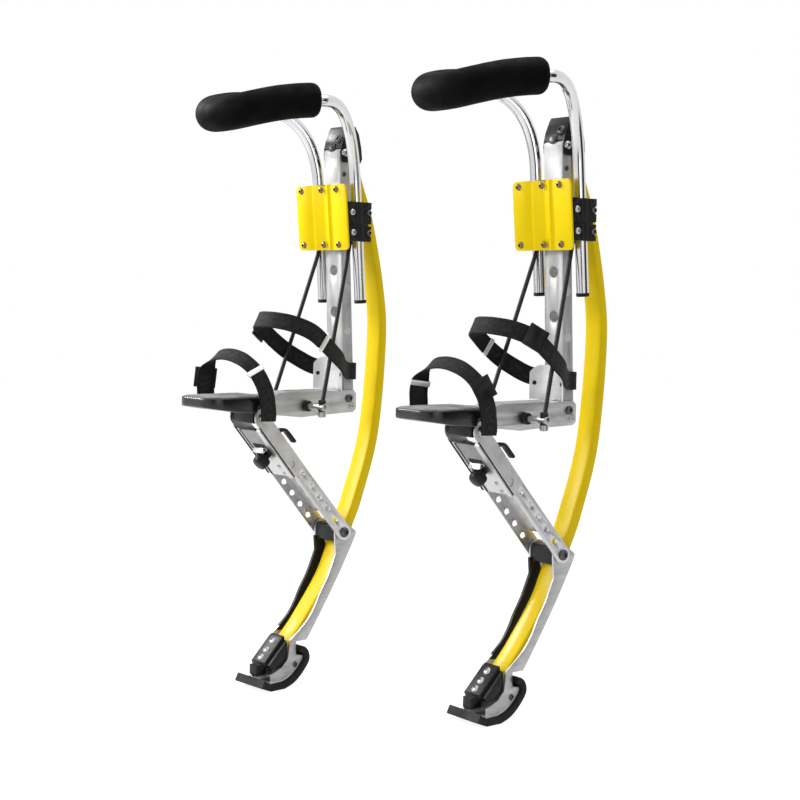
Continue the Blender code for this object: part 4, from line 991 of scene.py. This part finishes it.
def web_drill(s, face, radius, x=0.0):
    """A drill through the web of a channel, square to the link."""
    middle = Vector((x, *link_points([(s, face)])[0]))
    return cylinder(middle - pin_axis * 0.008, middle + pin_axis * 0.008, radius, 32)


UPPER_FACE, UPPER_BACK, UPPER_END, WEB_START = 0.0165, -0.010, 0.1125, 0.0125
KNOB_S, PIN_RADIUS, HOLE_RADIUS, WEB_HOLE_RADIUS = 0.068, 0.0035, 0.0048, 0.0058
pin_axis = Vector((0, *link_front))
round_end = 180 + math.degrees(math.asin(-UPPER_BACK / UPPER_FACE))
upper_outline = [(UPPER_END, UPPER_FACE), *arc((0, 0), UPPER_FACE, 90, round_end, 28),
                 (UPPER_END, UPPER_BACK)]
upper = extruded(link_points(upper_outline), 2 * UPPER_LINK_HALF)
upper_room = extruded(link_points([(-0.03, -0.03), (0.13, -0.03), (0.13, UPPER_FACE - LINK_WALL),
                                   (WEB_START, UPPER_FACE - LINK_WALL), (WEB_START, 0.03), (-0.03, 0.03)]),
                      2 * (UPPER_LINK_HALF - LINK_WALL))
upper = cut(upper, upper_room, bolt_hole(LINK_AXIS, BOLT_RADIUS),
            web_drill(KNOB_S, UPPER_FACE, PIN_RADIUS + GAP),
            across(link_points([(0.0944, 0.0070)])[0], THROUGH, 0.0062))
satin_aluminium = streaked("satin_aluminium", (0.62, 0.62, 0.63), 0.40, 1.0, (260, 120, 120), 0.12, 0.10)
LIP_HEIGHT, LIP_WIDTH = 0.0028, 0.0090
lips = [link_strip(0.008, UPPER_END, UPPER_FACE - 0.0010, UPPER_FACE + LIP_HEIGHT, LIP_WIDTH,
                   x * (UPPER_LINK_HALF - LIP_WIDTH / 2), 0.011) for x in (-1, 1)]
upper = fuse(upper, *lips)
set_on_stilts(eased(upper, 0.0006), "link_upper", "link", satin_aluminium)
# Painted shade: thin black strips inside each lip and along each cheek's front edge, where the lips shade the
# link, and one across the front above the guard tab, where the tab shades it.
STRIP_RISE, SHADE_STRIP_X = 0.0007, UPPER_LINK_HALF - LIP_WIDTH - 0.0018
shade_strips = [link_strip(0.0130, UPPER_END, UPPER_FACE, UPPER_FACE + STRIP_RISE, 0.0036, x * SHADE_STRIP_X) for x in (-1, 1)]
shade_strips += [link_strip(0.0060, UPPER_END, UPPER_FACE - 0.0016, UPPER_FACE + 0.0004, 0.0010,
                      x * UPPER_LINK_HALF) for x in (-1, 1)]
shade_strips += [extruded(link_points([(0.0425, UPPER_FACE), (0.0480, UPPER_FACE), (0.0480, UPPER_FACE + 0.0018),
                                 (0.0425, UPPER_FACE + 0.0012)]), 0.028)]
set_on_stilts(fuse(*shade_strips), "link_glides", "link", black_rubber, trim=True)
knob_plate = link_strip(0.0132, KNOB_S - 0.014, UPPER_FACE, UPPER_FACE + STRIP_RISE, 2 * SHADE_STRIP_X - 0.004)
dark_aluminium = streaked("dark_anodised_aluminium", (0.30, 0.30, 0.305), 0.46, 1.0, (160, 90, 90), 0.25,
                          0.08)
set_on_stilts(eased(knob_plate, 0.0002, segments=1), "knob_plate", "link", dark_aluminium,
              trim=True)

LOWER_FACE, LOWER_BACK = UPPER_FACE - LINK_WALL - 0.0003, -0.0097
LOWER_START, LOWER_WEB_END = 0.034, 0.222
knee_end = smooth([(-0.0135, 0.0), (-0.0115, 0.0075), (-0.005, 0.0122), (0.003, 0.0125), (0.009, 0.0085),
                   (LOWER_FACE, 0.0)], 5)
lower = extruded(link_points([(LOWER_START, LOWER_FACE), (LOWER_START, LOWER_BACK)]
                             + [(link_length + s, t) for t, s in knee_end]), 2 * LOWER_LINK_HALF)
lower_room = extruded(link_points([(0.02, 0.03), (0.30, 0.03), (0.30, -0.03), (LOWER_WEB_END, -0.03),
                                   (LOWER_WEB_END, LOWER_BACK + LINK_WALL), (0.02, LOWER_BACK + LINK_WALL)]),
                      2 * (LOWER_LINK_HALF - LINK_WALL))
web_drills = [web_drill(s, LOWER_BACK, WEB_HOLE_RADIUS, 0.015) for s in (0.136, 0.187)]
CHEEK_PITCH = 0.0258
cheek_drills = [cylinder((0, *spot), (x, *spot), HOLE_RADIUS)
                for x, first, face, count in ((0.05, 0.1235, 0.0, 5), (-0.05, 0.1428, 0.005, 4))
                for spot in link_points([(first + CHEEK_PITCH * i, face) for i in range(count)])]
lower = cut(lower, lower_room, bolt_hole(KNEE_AXIS, BOLT_RADIUS),
            web_drill(KNOB_S, LOWER_BACK, PIN_RADIUS + GAP), *web_drills, *cheek_drills)
set_on_stilts(eased(lower, 0.0008), "link_lower", "link", satin_aluminium)
headed_bolt("knee_bolt", "link", KNEE_AXIS, LOWER_LINK_HALF, BOLT_RADIUS, 0.0085, 0.005, grey_steel)
rivet_spots = [((x, *link_points([(s, UPPER_FACE)])[0]), pin_axis)
               for x, s in ((0.012, 0.0915), (0.012, 0.1070), (-0.021, 0.0930))]
fastened("link_rivets", "link", rivet_spots, screw_head(0.0034, 0.0020, 0.0), steel)

# Lock knob: a fluted black knob on a spring pin through both channels, under a bent metal guard tab.
# On the back of the link a short black lever lies between the cheeks.
KNOB_RADIUS, KNOB_HEIGHT, FLUTES = 0.0125, 0.023, 14
knob_base = Vector((0, *link_points([(KNOB_S, UPPER_FACE)])[0]))
knob_axes = Matrix.Translation(knob_base) @ pin_axis.to_track_quat('Z', 'X').to_matrix().to_4x4()
knob_profile = [(0, KNOB_HEIGHT), (0.006, KNOB_HEIGHT), (0.0095, KNOB_HEIGHT - 0.0008),
                (0.0115, KNOB_HEIGHT - 0.0026), (KNOB_RADIUS, KNOB_HEIGHT - 0.006), (KNOB_RADIUS, 0.009),
                (0.0117, 0.0068), (0.0095, 0.0056), (0.006, 0.0055), (0.006, GAP), (PIN_RADIUS, GAP),
                (PIN_RADIUS, -0.0250), (0, -0.0260)]
knob = turned(knob_profile, PLAN, 56)
flute_spots = arc((0, 0), 1.075 * KNOB_RADIUS, 0, 360, FLUTES)[:-1]
flutes = [cylinder((*spot, 0.0065), (*spot, KNOB_HEIGHT + 0.005), 0.0016, 12) for spot in flute_spots]
knob = cut(knob, *flutes)
knob.matrix_world = knob_axes
set_on_stilts(eased(baked(knob), 0.0003, segments=1), "lock_knob", "lock_knob",
              black_plastic)

TAB_THICKNESS, TAB_WIDTH = 0.0018, 0.024
tab_knots = link_points([(KNOB_S - 0.013, UPPER_FACE + 0.0010), (KNOB_S - 0.017, UPPER_FACE + 0.0012),
                         (KNOB_S - 0.0195, UPPER_FACE + 0.0035), (KNOB_S - 0.0165, UPPER_FACE + 0.0105)])
tab = swept(smooth(side_line(tab_knots), 8), TAB_WIDTH, TAB_THICKNESS, 0.0006)
set_on_stilts(tab, "guard_tab", "link", chrome, trim=True)
LEVER_X, LEVER_WIDTH, LEVER_THICKNESS = 0.021, 0.012, 0.0050
lever_knots = link_points([(0.0430, -0.0090), (0.0425, -0.0140), (0.0450, -0.0200), (0.0520, -0.0245),
                           (0.0760, -0.0255)])
lever = swept(smooth(side_line(lever_knots, LEVER_X), 8), LEVER_WIDTH, LEVER_THICKNESS, 0.0018)
set_on_stilts(lever, "link_lever", "link", black_plastic, trim=True)

# Sole: a moulded strip of black rubber under the hoof, tipped up in front and curled up behind.
# It is swept along its middle line, thicker at its tip, and cut clear of the spring's lower end.
SOLE_THICKNESS, TIP_THICKNESS, SOLE_HALF = 0.010, 0.0136, 0.035
sole_knots = [(0.044, 0.005), (0.0605, 0.0112), (0.0755, 0.0228), (0.0888, 0.0395), (0.0885, 0.0505),
              (0.0835, 0.0570), (0.0765, 0.0600)]
sole_line = [Vector(p) for p in ((0.0005, 0.0140), (0.0060, 0.0112), (0.0120, 0.0081), (0.018, 0.005),
                                 (0.031, 0.005))] + smooth(sole_knots, 8)
sole_depths = numpy.interp(range(len(sole_line)), (0, 3), (TIP_THICKNESS, SOLE_THICKNESS))
sole = cut(swept(side_line(sole_line), 2 * SOLE_HALF, sole_depths, 0.0022), spring_room(0.001))
set_on_stilts(sole, "sole", "hoof", black_rubber)

# Hoof frame: two cheeks and a base bent from aluminium plate, joining the knee to the sole.
# The base follows the sole's upper side, and a dark screw on each cheek holds it.
HOOF_HALF = 0.0268


def offset_line(line, distance):
    """A line beside another one in the same plane, on its upper side."""
    moved = []
    for i, p in enumerate(line):
        along = (line[min(i + 1, len(line) - 1)] - line[max(i - 1, 0)]).normalized()
        moved.append(p + Vector((-along.y, along.x)) * distance)
    return moved


base_line = offset_line(sole_line, SOLE_THICKNESS / 2 + GAP + PLATE / 2)[3:-16]
base = swept(side_line(base_line), 0.058, PLATE, 0.0004, corner_steps=1)
cheek_front = smooth([(0.0775, 0.087), (0.0955, 0.103), (0.1095, 0.122), (0.1205, 0.143), (0.1365, 0.169),
                      (0.1525, 0.204)], 6)
cheek_back = smooth([(0.1915, 0.240), (0.194, 0.231), (0.1690, 0.186), (0.150, 0.155), (0.1278, 0.121),
                     (0.1067, 0.090), (0.093, 0.071)], 6)
CHEEK_TOP = (0.1505, 0.228)
cheek_outline = cheek_front + [CHEEK_TOP] + arc(KNEE_AXIS, 0.0165, 175, 40, 18) + cheek_back
cheek_outline += [(0.072, 0.071), (0.072, 0.050)] + base_line[-2:0:-1]
cheek_outline += [(0.022, 0.012), (0.022, 0.024), (0.044, 0.033), (0.056, 0.045), (0.060, 0.0745)]
cheeks = [extruded(cheek_outline, PLATE, middle=x * (HOOF_HALF - PLATE / 2)) for x in (-1, 1)]
hoof = cut(fuse(base, *cheeks), bolt_hole(KNEE_AXIS, BOLT_RADIUS))
set_on_stilts(eased(hoof, 0.0007, angle=40.0), "hoof_frame", "hoof", dull_aluminium)
fastened("hoof_screws", "hoof", on_both_sides(HOOF_HALF, 0.0697, 0.0346), screw_head(0.0046, 0.0026, 0.0018),
         grey_steel)

# Hoof shade sheet: a thin black strip on one cheek's inner face, where the spring runs beside it, folded over
# the cheek's front edge. It is painted shade, standing in for the shade that falls between the cheeks.
# Painted shade: a black sheet on the inner face of one cheek only.
SHADE_SHEET = 0.0010
edge_line = side_line(cheek_front + [CHEEK_TOP], PLATE / 2 - HOOF_HALF)
shade_sheet = swept(edge_line, PLATE + 2 * SHADE_SHEET, 0.0034, 0.0006)
shade_sheet_outline = cheek_front + [CHEEK_TOP, (0.1560, 0.2215), (0.1690, 0.2200)]
shade_sheet_outline += [p - Vector((0.0010, 0.0)) for p in cheek_back[10:-2]] + [(0.0700, 0.0816)]
shade_sheet = fuse(shade_sheet, extruded(shade_sheet_outline, SHADE_SHEET, middle=SHADE_SHEET / 2 - (HOOF_HALF - PLATE)))
set_on_stilts(shade_sheet, "hoof_lining", "hoof", black_plastic, trim=True)

# Knee block: a moulded black bush between the cheeks in front of the spring, cut back to clear it.
# It is drilled across for the knee bolt.
INSIDE_HOOF = 2 * (HOOF_HALF - PLATE - GAP)
knee_block = extruded(rounded_rectangle((0.1520, 0.2225), (0.1755, 0.2505), 0.004), INSIDE_HOOF)
knee_block = cut(knee_block, spring_room(0.0008), bolt_hole(KNEE_AXIS, BOLT_RADIUS))
set_on_stilts(eased(knee_block, 0.0010), "knee_block", "hoof", black_plastic)

# Spring clamp: a moulded wedge that holds the spring's lower end in the hoof, with a lug below and a row of
# domed bolts down its sloping front.
FACE_WIDTH = 0.032
spring_clamp = extruded([(0.0212, 0.0388), (0.054, 0.0716), (0.056, 0.074), (0.0575, 0.047), (0.0475, 0.034),
                         (0.024, 0.033)], INSIDE_HOOF)
face = extruded([(0.017, 0.043), (0.051, 0.077), (0.056, 0.080), (0.0575, 0.070), (0.024, 0.0365),
                 (0.017, 0.037)], FACE_WIDTH)
lug = block((-0.009, 0.007, 0.0225), (0.009, 0.026, 0.038))
spring_clamp = cut(fuse(spring_clamp, face, lug), spring_room(GAP))
set_on_stilts(eased(spring_clamp, 0.0012), "spring_clamp", "hoof", black_plastic)
bright_steel = streaked("bright_steel", (0.50, 0.50, 0.51), 0.26, 1.0, (200, 200, 200), 0.08, 0.03)
clamp_out = Vector((0, -0.70, 0.71)).normalized()
FACE_RISE = 0.026
clamp_spots = [((0, y, y + FACE_RISE), clamp_out) for y in (0.0225, 0.0330, 0.0455)]
fastened("clamp_bolts", "hoof", clamp_spots, screw_head(0.0064, 0.0034, 0.0026), bright_steel)

# Heel cup: a curved stop of brushed aluminium sheet that stands on the arm in front of the mast.
# It is cut from an arc, rounded at its upper corners, and has two dark rivets.
CUP_RADIUS, CUP_HALF, CUP_TOP, CUP_BACK, CUP_WALL = 0.058, 0.0365, 0.523, 0.1660, 0.0025
cup_centre = Vector((0, CUP_BACK - CUP_RADIUS))
cup_angle = math.degrees(math.asin(CUP_HALF / CUP_RADIUS))
cup = extruded(arc(cup_centre, CUP_RADIUS, 90 - cup_angle, 90 + cup_angle, 36)
               + arc(cup_centre, CUP_RADIUS - CUP_WALL, 90 + cup_angle, 90 - cup_angle, 36), 0.2, PLAN, 0.5)
cup = common(cup, extruded(rounded_rectangle((-CUP_HALF, 0.430), (CUP_HALF, CUP_TOP), 0.020, 16), 0.4, FRONT),
             block((-0.05, 0, ARM_TOP + GAP), (0.05, 0.2, 0.6)))
cup_aluminium = streaked("brushed_aluminium", (0.74, 0.74, 0.745), 0.44, 1.0, (60, 60, 300), 0.10, 0.06)
set_on_stilts(eased(cup, 0.0005, angle=50.0), "heel_cup", "frame", cup_aluminium)
RIVET_TURN, RIVET_Z = math.radians(31), 0.4955
cup_spots = []
for turn_at in (-RIVET_TURN, RIVET_TURN):
    inward = Vector((math.sin(turn_at), math.cos(turn_at), 0))
    cup_spots.append((Vector((0, cup_centre.y, RIVET_Z)) + inward * (CUP_RADIUS - CUP_WALL), -inward))
fastened("cup_rivets", "frame", cup_spots, screw_head(0.0034, 0.0016, 0.0), dark_steel)

# Heel strap: black webbing in a closed loop round the mast and over the front of the ankle.
# The weave is drawn along and across the band, with a painted sheen in speckled patches down its middle, and
# a row of stitches runs along both edges.
STRAP_WIDTH, STRAP_THICKNESS, STRAP_EDGE = 0.027, 0.0026, 0.0010
weave, given, result = node_group("woven_webbing", {
    "Colour": 'Color', "Thread": 'Float', "Half width": 'Float'}, {"Colour": 'Color', "Normal": 'Vector'})
spot = add_node(weave, 'ShaderNodeUVMap', {}, uv_map="along_across").outputs[0]
parts = add_node(weave, 'ShaderNodeSeparateXYZ', {0: spot}).outputs
down, over = (sums(weave, 'SINE', sums(weave, 'MULTIPLY', parts[axis], given["Thread"]))
              for axis in ("X", "Y"))
height = sums(weave, 'ADD', sums(weave, 'MULTIPLY', down, over), noise(weave, spot, 900.0))
# Painted sheen: the middle of the band is made paler in speckled patches, as where its top faces the light.
middle = sums(weave, 'DIVIDE', sums(weave, 'ABSOLUTE', parts["Y"]), given["Half width"])
wear_and_sheen = sums(weave, 'MULTIPLY', stretched_range(weave, middle, 0.45, 0.8, 1.0, 0.0),
              stretched_range(weave, noise(weave, spot, 140.0, 6.0), 0.40, 0.68, 0.4, 3.6))
paler = sums(weave, 'ADD', stretched_range(weave, height, -0.5, 1.5, 0.5, 1.6), wear_and_sheen)
plug(weave, result, {"Colour": shaded(weave, given["Colour"], paler),
                     "Normal": bumps(weave, height, 0.6, 0.0004)})
THREAD_PITCH = 0.0024
webbing = skinned("black_webbing", weave, {
    "Colour": (0.0052, 0.0052, 0.0055, 1), "Half width": STRAP_WIDTH / 2,
    "Thread": 2 * math.pi / THREAD_PITCH}, Roughness=0.70, Specular_IOR_Level=0.20)

half_loop = [(0.0, 0.1958, 0.500), (0.0165, 0.1958, 0.500), (0.0238, 0.190, 0.500), (0.0252, 0.175, 0.501),
             (0.0410, 0.154, 0.507), (0.0535, 0.136, 0.518), (0.0612, 0.114, 0.532), (0.064, 0.091, 0.549),
             (0.061, 0.068, 0.566), (0.045, 0.043, 0.578), (0.022, 0.0265, 0.583)]
loop_knots = half_loop + [(0.0, 0.0222, 0.584)] + [(-x, y, z) for x, y, z in half_loop[:0:-1]]
ankle_line = smooth(loop_knots + loop_knots[:1], 8)[:-1]
ANKLE_LEAN, LEAN_BACK, LEAN_OVER = math.radians(28), 0.150, 0.10


def limited(value):
    """A value kept between 0 and 1."""
    return min(1.0, max(0.0, value))


def ankle_facing(p):
    """Upright behind the heel, leaning back with the shin at the front."""
    lean = limited((LEAN_BACK - p.y) / LEAN_OVER) * ANKLE_LEAN
    return Vector((0, math.sin(lean), math.cos(lean)))


def webbing_strap(line, facing, name, closed):
    """A strap of webbing along a line."""
    strap = swept(line, STRAP_WIDTH, STRAP_THICKNESS, STRAP_EDGE, [facing(p) for p in line], closed)
    set_on_stilts(strap, name, "frame", webbing, sharp=60.0)


STITCH_WIDTH, STITCH_INSET, STITCH_SUNK = 0.0007, 0.0026, 0.0004
thread = moulding("dark_thread", (0.022, 0.022, 0.023), 0.60, 900.0, 0.2)


def stitched(name, line, facing, closed, outward):
    """Rows of stitches along both edges of a strap's outside."""
    spots = []
    for p, (along, wide, out) in zip(line, line_frames(line, [facing(p) for p in line], closed)):
        out = out if out.dot(outward(p)) > 0 else -out
        for sign in (-1, 1):
            edge = p + wide * sign * (STRAP_WIDTH / 2 - STITCH_INSET) + out * STRAP_THICKNESS / 2
            spots.append((edge, out))
    stitch = turned([(0, STITCH_WIDTH * 0.5), (STITCH_WIDTH * 0.9, STITCH_WIDTH * 0.2),
                     (STITCH_WIDTH, -STITCH_SUNK), (0, -STITCH_SUNK)], PLAN, 8)
    fastened(name, "frame", spots, stitch, thread)


webbing_strap(ankle_line, ankle_facing, "heel_strap", True)
ANKLE_Y = 0.11
stitched("heel_stitches", ankle_line, ankle_facing, True, lambda p: Vector((p.x, p.y - ANKLE_Y, 0)))

# Toe strap: a slanting arch of the same webbing over the foot plate, its ends held against the plate's sides.
# It is swept along its middle line and stitched along both edges like the heel strap.
INSTEP_SKEW, INSTEP_LEAN = math.radians(20), math.radians(35)
END_SKEWS = (math.radians(-32), math.radians(-5))
instep_line = smooth([(0.0550, -0.010, 0.4290), (0.0562, -0.010, 0.4380), (0.0572, -0.012, 0.450),
                      (0.0585, -0.016, 0.468), (0.0575, -0.023, 0.487), (0.050, -0.031, 0.506),
                      (0.034, -0.038, 0.520), (0.012, -0.042, 0.528), (-0.012, -0.045, 0.530),
                      (-0.034, -0.047, 0.525), (-0.050, -0.048, 0.509), (-0.0570, -0.048, 0.488),
                      (-0.0576, -0.047, 0.470), (-0.0574, -0.046, 0.4480)], 8)
TIP_FROM, TIP_OVER, TWIST_FROM, TWIST_OVER = 0.480, 0.045, 0.500, 0.028


def instep_facing(p):
    """Level beside the foot, its front edge lower over the instep."""
    tip = limited((p.z - TIP_FROM) / TIP_OVER) * INSTEP_LEAN
    end_skew = END_SKEWS[p.x > 0]
    skew = end_skew + limited((p.z - TWIST_FROM) / TWIST_OVER) * (INSTEP_SKEW - end_skew)
    return Matrix.Rotation(skew, 3, 'Z') @ Vector((0, -math.cos(tip), -math.sin(tip)))


webbing_strap(instep_line, instep_facing, "toe_strap", False)
FOOT_Z = 0.47
stitched("toe_stitches", instep_line, instep_facing, False, lambda p: Vector((p.x, 0, p.z - FOOT_Z)))

# Buckles: moulded cam buckles on the outer side of each strap, a ridged lever on a squared body.
# A plated metal keeper goes round each strap on its inner side.
BUCKLE_WIDTH, BUCKLE_THICKNESS, BUCKLE_LENGTH, BUCKLE_LIFT = 0.034, 0.005, 0.032, 0.0026
RING_LENGTH, RING_HALF, RING_WALL, RING_CORNER = 0.0080, (0.0150, 0.0026), 0.0013, 0.0015


def strap_axes(line, facing, sign, target):
    """Axes on the outside of a strap at the point nearest a target: X along, Y across, Z out."""
    middle, (along, wide, out) = min(zip(line, line_frames(line, [facing(p) for p in line])),
                                     key=lambda found: (found[0] - Vector(target)).length)
    if out.x * sign < 0:
        along, out = -along, -out
    axes = Matrix((along, wide, out)).transposed().to_4x4()
    axes.translation = middle
    return axes


def buckle_body(axes):
    """A squared body with a raised, ridged lever on it."""
    lift = STRAP_THICKNESS / 2 + BUCKLE_LIFT
    top = lift + BUCKLE_THICKNESS
    body = block((-BUCKLE_LENGTH / 2, -BUCKLE_WIDTH / 2, lift),
                 (BUCKLE_LENGTH / 2, BUCKLE_WIDTH / 2, lift + 0.0030))
    lever = block((-BUCKLE_LENGTH * 0.42, -BUCKLE_WIDTH * 0.40, lift),
                  (BUCKLE_LENGTH * 0.34, BUCKLE_WIDTH * 0.40, top))
    ridges = [cylinder((x, -BUCKLE_WIDTH, top), (x, BUCKLE_WIDTH, top), 0.0009, 12)
              for x in (BUCKLE_LENGTH * share for share in (0.08, 0.16, 0.24))]
    piece = eased(cut(fuse(body, lever), *ridges), 0.0008)
    piece.matrix_world = axes
    return baked(piece)


def keeper_ring(axes):
    """A flat metal loop round the strap."""
    path = side_line(rounded_rectangle((-RING_HALF[0], -RING_HALF[1]), RING_HALF, RING_CORNER))
    ring = swept(path, RING_LENGTH, RING_WALL, 0.0004, closed=True)
    ring.matrix_world = axes
    return baked(ring)


bright_plate = streaked("bright_plate", (0.90, 0.90, 0.90), 0.42, 1.0, (80, 80, 80), 0.04, 0.02)
FITTINGS = [    # piece, strap, 1 on the outer side of the leg or -1 on the inner one, place
    ("heel_buckle", ankle_line, ankle_facing, 1, (0.061, 0.068, 0.566)),
    ("toe_buckle", instep_line, instep_facing, 1, (0.057, -0.035, 0.492)),
    ("heel_ring", ankle_line, ankle_facing, -1, (0.063, 0.0893, 0.548)),
    ("toe_ring", instep_line, instep_facing, -1, (0.052, -0.050, 0.498)),
]
for side, mirror in SIDES.items():
    for name, line, facing, sign, (x, y, z) in FITTINGS:
        axes = strap_axes(line, facing, sign * mirror, (sign * mirror * x, y, z))
        if sign > 0:
            set_on_stilts(buckle_body(axes), name, "frame", black_plastic, (side,))
        else:
            set_on_stilts(keeper_ring(axes), name, "frame", bright_plate, (side,), trim=True)
